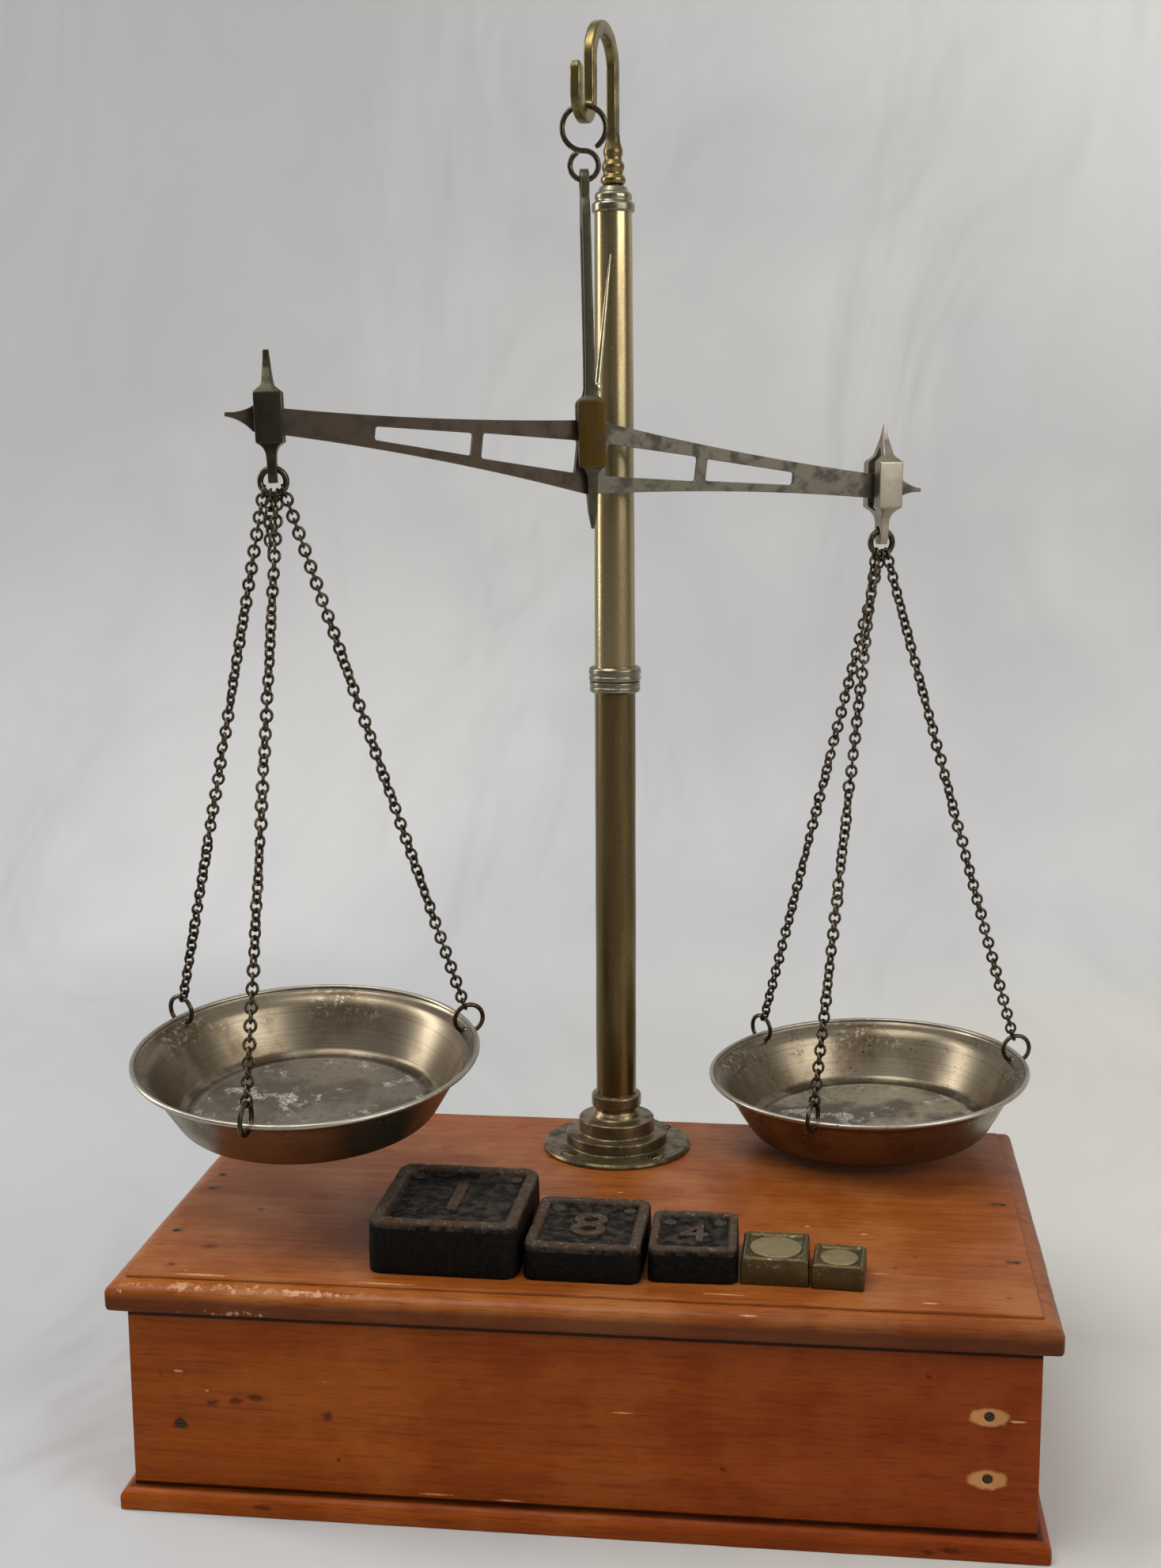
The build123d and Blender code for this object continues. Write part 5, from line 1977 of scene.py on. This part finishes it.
@dataclass
class SquareWeight:
    """A cast or milled square weight with a sunk top."""

    node: str
    width: float
    depth: float
    height: float
    corner: float
    rim: float
    spot: tuple[float, float]
    turn: float
    finish: Material
    slot: str
    recess: float = 3.0
    rough: float = 0.3
    mark: str = ""
    mark_size: float = 12.0

    @property
    def place(self) -> Place:
        """Returns where the weight stands on the lid."""
        return Place.upright(*self.spot, LID_TOP, self.turn)

    def seat(self, rise: float = 0.0) -> Place:
        """Returns the place of the recess's floor, or of what lies a rise above it."""
        local = np.array([0, 0, self.height - self.recess + rise])
        return Place(self.place.put(local), self.place.axes)

    def block(self) -> Object:
        """Makes the block: up the side from the underside, over the rim and into the recess.

        Returns:
            The block.
        """
        top, rim, floor = self.height, self.rim, self.height - self.recess
        middle = min(self.width, self.depth) / 3
        outline = np.vstack([[(middle, 0.0)], eased([
            (2.0, 0.0), (0.0, 0.0), (0.15, top * 0.5), (0.35, top - 0.8), (1.6, top),
            (rim - 1.3, top), (rim - 0.1, top - 0.5), (rim + 0.9, floor), (rim + 3.2, floor),
        ], 1.3, 6), [(middle, floor)]])
        inset, height = outline[:, 0], outline[:, 1]
        corner = np.maximum(self.corner - 0.45 * inset, 0.7)
        rows = np.stack([self.width / 2 - inset, self.depth / 2 - inset, corner, height], -1)
        grid = SoftLoop(9, 22).grid(rows)
        uneven = self.rough * (waves(grid + self.height, 9.0, 21) + waves(grid, 3.4, 22) * 0.4)
        grid[1:, :, 2] += 0.5 * uneven[1:] * np.clip(grid[1:, :, 2] / 4, 0, 1)
        grid[..., :2] *= 1 - np.abs(uneven[..., None]) / self.width
        return solid(f"{self.node}_casting", self.place.put(grid), 50.0)

    def raised_mark(self) -> Object:
        """Makes the plain number that stands up from the recess.

        Returns:
            The number.
        """
        words = bpy.data.curves.new(f"{self.node}_mark", "FONT")
        words.body = self.mark
        words.size = self.mark_size * MM
        words.extrude = 0.7 * MM
        words.bevel_depth = 0.35 * MM
        words.bevel_resolution = 2
        words.align_x = "CENTER"
        words.align_y = "CENTER"
        holder = add("words", words)
        bpy.context.view_layer.update()
        mesh = bpy.data.meshes.new_from_object(holder)
        bpy.data.objects.remove(holder)
        mesh.transform(self.seat(0.2).matrix())
        return add(f"{self.node}_number", mesh)

    def build(self) -> None:
        """Builds the weight and dresses it."""
        body = f"{self.node}_body"
        keep(self.block(), self.finish, body, self.slot, self.node)
        if self.mark:
            worn = CastIron(f"{self.node}_number_iron", self.seat(1.6).origin[2])
            keep(self.raised_mark(), worn.material(), body, self.slot)


@dataclass
class Weights:
    """The five weights in their row on the lid."""

    finishes: Finishes

    def build(self) -> None:
        """Builds all five."""
        f = self.finishes
        for node, width, depth, height, corner, rim, spot, turn, mark, size in (
            ("weight_one_pound", 62.0, 67.0, 22.8, 6.0, 5.4, (-54.4, -59.0), -1.0, "1", 40.0),
            ("weight_eight_ounce", 48.0, 54.0, 15.6, 5.0, 4.8, (2.3, -65.2), -0.6, "8", 32.0),
            ("weight_four_ounce", 36.4, 41.0, 15.0, 4.0, 3.8, (46.0, -67.8), 1.5, "4", 24.0),
        ):
            iron = CastIron(f"{node}_iron", LID_TOP + height).material()
            SquareWeight(
                node, width, depth, height, corner, rim, spot, turn, iron, "weight_iron",
                mark=mark, mark_size=size,
            ).build()
            paint(f"{node}_plugs", f.lead)
        for node, width, depth, height, rim, spot, turn in (
            ("weight_two_ounce", 27.6, 29.4, 11.4, 2.6, (79.5, -72.2), -0.8),
            ("weight_one_ounce", 21.4, 23.2, 10.2, 2.4, (105.0, -76.8), -4.0),
        ):
            weight = SquareWeight(
                node, width, depth, height, 1.2, rim, spot, turn, f.weight_brass, "weight_brass",
                recess=1.4, rough=0.08,
            )
            weight.build()
            edge = width / 2 - rim - 0.7
            disc = eased([
                (0.3, -0.4), (edge, -0.4), (edge, 0.6), (edge - 0.7, 0.75), (0.3, 0.7),
            ], 0.3)
            made = solid(f"{node}_disc", turned(disc, weight.seat(), 48))
            keep(made, f.disc_brass, f"{node}_body", "weight_brass")


# The studio


@dataclass
class Studio:
    """The pale backdrop, the soft lamps and the camera."""

    focal_pixels: float = 2440.8
    image_height: float = 1982.0
    sensor: float = 36.0
    eye: tuple[float, float, float] = (93.2, -817.5, 427.3)
    yaw: float = -0.123247
    pitch: float = 0.166789
    roll: float = -0.006643

    def camera(self) -> None:
        """Makes the camera from its calibrated place, yaw, downward pitch and roll."""
        cy, sy, cp, sp = cos(self.yaw), sin(self.yaw), cos(self.pitch), sin(self.pitch)
        forward = Vector((sy * cp, cy * cp, -sp))
        level = Vector((cy, -sy, 0.0))
        upward = level.cross(forward)
        right = cos(self.roll) * level + sin(self.roll) * upward
        above = cos(self.roll) * upward - sin(self.roll) * level
        lens = bpy.data.cameras.new("camera")
        lens.sensor_width = self.sensor
        lens.lens = self.focal_pixels / self.image_height * self.sensor
        lens.clip_start = 0.02
        made = add("camera", lens)
        turn = Matrix((right, above, -forward)).transposed().to_4x4()
        turn.translation = Vector(self.eye) * MM
        made.matrix_world = turn
        bpy.context.scene.camera = made

    def backdrop(self) -> None:
        """Makes one sheet: floor in front, a sweep up behind the scale and a wall.

        From behind the wall is see-through, so that it never hides the scale.
        """
        bend, back, reach, height = 380.0, 900.0, 6000.0, 2600.0
        a = np.linspace(0, pi / 2, 24)
        y = np.concatenate([[-reach], back - bend + bend * np.sin(a), [back]])
        z = np.concatenate([[0.0], bend * (1 - np.cos(a)), [height]])
        x = np.array([-reach, reach])
        grid = np.stack([x[None, :] + 0 * y[:, None], y[:, None] + 0 * x, z[:, None] + 0 * x], -1)
        faces = [[2 * i, 2 * i + 1, 2 * i + 3, 2 * i + 2] for i in range(len(y) - 1)]
        sheet = mesh_object("backdrop", grid - np.array([0, 0, 0.05]), faces, 60.0)
        s = Shading("backdrop_paper")
        # Painted light on the backdrop: lighter patches for the cloth's folds, darker towards the
        # upper left, lighter towards the upper right, and a floor lighter towards the right.
        painted_fold_light = s.noise(s.coordinates(), 3.0, 3.0)
        x, _, z = s.parts(s.coordinates())
        floor_painted_light = s.mix(s.step(x, -0.3, 0.4), srgb(182, 183, 184), srgb(204, 201, 193))
        colour = s.layers(
            srgb(188, 188, 189),
            (s.step(painted_fold_light, 0.35, 0.65), srgb(200, 200, 199)),
            (s.step(z - x, 0.3, 1.5), srgb(164, 164, 165)),
            (s.step(z + x, 0.5, 1.5), srgb(226, 227, 225)),
            (1 - s.step(z, 0.0, 0.05), floor_painted_light),
        )
        creases = s.noise(s.coordinates((1.0, 0.6, 0.6)), 4.0, 3.0, 0.45, 1.2)
        sheet.data.materials.append(s.done(**{
            "Base Color": colour, "Roughness": 0.9, "Normal": s.bump(creases, 22.0),
            "Alpha": 1 - Value(s, s.node("ShaderNodeNewGeometry").outputs["Backfacing"]),
        }))

    def lamp(
        self, name: str, at: tuple, aim: tuple, size: tuple[float, float], watts: float
    ) -> None:
        """Adds a soft lamp.

        Args:
            name: Its name.
            at: Its place in metres.
            aim: The place it is turned to.
            size: Its width and height in metres.
            watts: Its power.
        """
        light = bpy.data.lights.new(name, "AREA")
        light.shape = "RECTANGLE"
        light.size, light.size_y = size
        light.energy = watts
        light.color = (1.0, 0.985, 0.96)
        made = add(name, light)
        made.location = at
        made.rotation_euler = (Vector(aim) - Vector(at)).to_track_quat("-Z", "Y").to_euler()

    def world(self) -> None:
        """Makes a soft grey room, dark round the horizon and pale overhead."""
        room = bpy.data.worlds.new("room")
        bpy.context.scene.world = room
        room.use_nodes = True
        nodes, links = room.node_tree.nodes, room.node_tree.links
        nodes.clear()
        way = nodes.new("ShaderNodeTexCoord")
        split = nodes.new("ShaderNodeSeparateXYZ")
        links.new(way.outputs["Generated"], split.inputs[0])
        ramp = nodes.new("ShaderNodeValToRGB")
        ramp.color_ramp.elements[0].position = 0.05
        ramp.color_ramp.elements[0].color = (0.07, 0.065, 0.06, 1)
        ramp.color_ramp.elements[1].position = 0.9
        ramp.color_ramp.elements[1].color = (0.62, 0.63, 0.65, 1)
        links.new(split.outputs[2], ramp.inputs[0])
        sky = nodes.new("ShaderNodeBackground")
        links.new(ramp.outputs[0], sky.inputs[0])
        out = nodes.new("ShaderNodeOutputWorld")
        links.new(sky.outputs[0], out.inputs[0])

    def build(self) -> None:
        """Builds the studio."""
        bpy.context.scene.view_settings.view_transform = "Standard"
        self.camera()
        self.backdrop()
        self.world()
        centre = (0.0, 0.02, 0.26)
        self.lamp("right window", (1.28, -0.86, 0.95), centre, (1.3, 0.9), 14.0)
        self.lamp("left window", (-1.45, 0.12, 0.8), centre, (0.3, 1.2), 12.0)
        self.lamp("ceiling", (-0.5, -0.45, 1.8), centre, (1.0, 1.0), 14.0)


# Everything together


def joint_point(name: str) -> np.ndarray:
    """Returns a joint's place in millimetres."""
    return np.array(next(j for j in frame["joints"] if j["name"] == name)["pos_m"], float) / MM


def pan_place(centre: tuple[float, float, float], lean: tuple[float, float]) -> Place:
    """Works out a pan's frame.

    Args:
        centre: The middle of its rim.
        lean: How far its axis tips towards X and towards Y, in degrees.

    Returns:
        The place.
    """
    upward = (tan(radians(lean[0])), tan(radians(lean[1])), 1.0)
    z = unit(upward)
    x = unit((1.0, 0.0, -upward[0]))
    return Place(np.array(centre), np.array([x, np.cross(z, x), z]))


def main() -> None:
    """Builds the scale and its studio in order."""
    logging.basicConfig(level=logging.INFO, format="%(message)s")
    middle = joint_point("beam_tilt")
    left_knife = joint_point("left_stirrup_swing")
    right_knife = joint_point("right_stirrup_swing")
    hook_bottom = joint_point("shears_swing")
    (along, back), (level, drop) = bearing(BEAM_HEADING), bearing(BEAM_TILT)
    down_arm = np.array([along * level, back * level, -drop])
    up_arm = np.array([along * drop, back * drop, level])
    beam_place = Place(middle, np.array([down_arm, np.cross(up_arm, down_arm), up_arm]))
    left_pan = pan_place((-127.2, -22.8, 172.8), (0.38, -6.45))
    right_pan = pan_place((119.6, 85.4, 137.6), (-1.98, -1.95))
    shears = Place.hanging(middle, hook_bottom - middle, SHEARS_HEADING)
    left_stirrup = Place.hanging(left_knife, left_knife - left_pan.origin, SHEARS_HEADING)
    right_stirrup = Place.hanging(right_knife, right_knife - right_pan.origin, BEAM_HEADING)
    finishes = Finishes(left_pan, right_pan, shears, beam_place)
    Studio().build()
    Box(finishes).build()
    Column(finishes).build()
    x, y, z = hook_bottom
    hook = Place.upright(x, y, z + 2 * Gear.lower_radius, 4.0)
    Gear(finishes, shears, beam_place, hook, left_stirrup, right_stirrup).build()
    HungPan(
        Side.LEFT, left_pan, left_stirrup, finishes.left_pan, finishes.dark,
        (154.0, -94.0, 28.0), (-3.9, 1.3, 3.9), -1.3,
    ).build()
    HungPan(
        Side.RIGHT, right_pan, right_stirrup, finishes.right_pan, finishes.dark,
        (-110.2, 134.4, 16.0), (-2.6, 0.0, 2.6),
    ).build()
    Weights(finishes).build()
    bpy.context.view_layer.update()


if __name__ == "__main__":
    main()
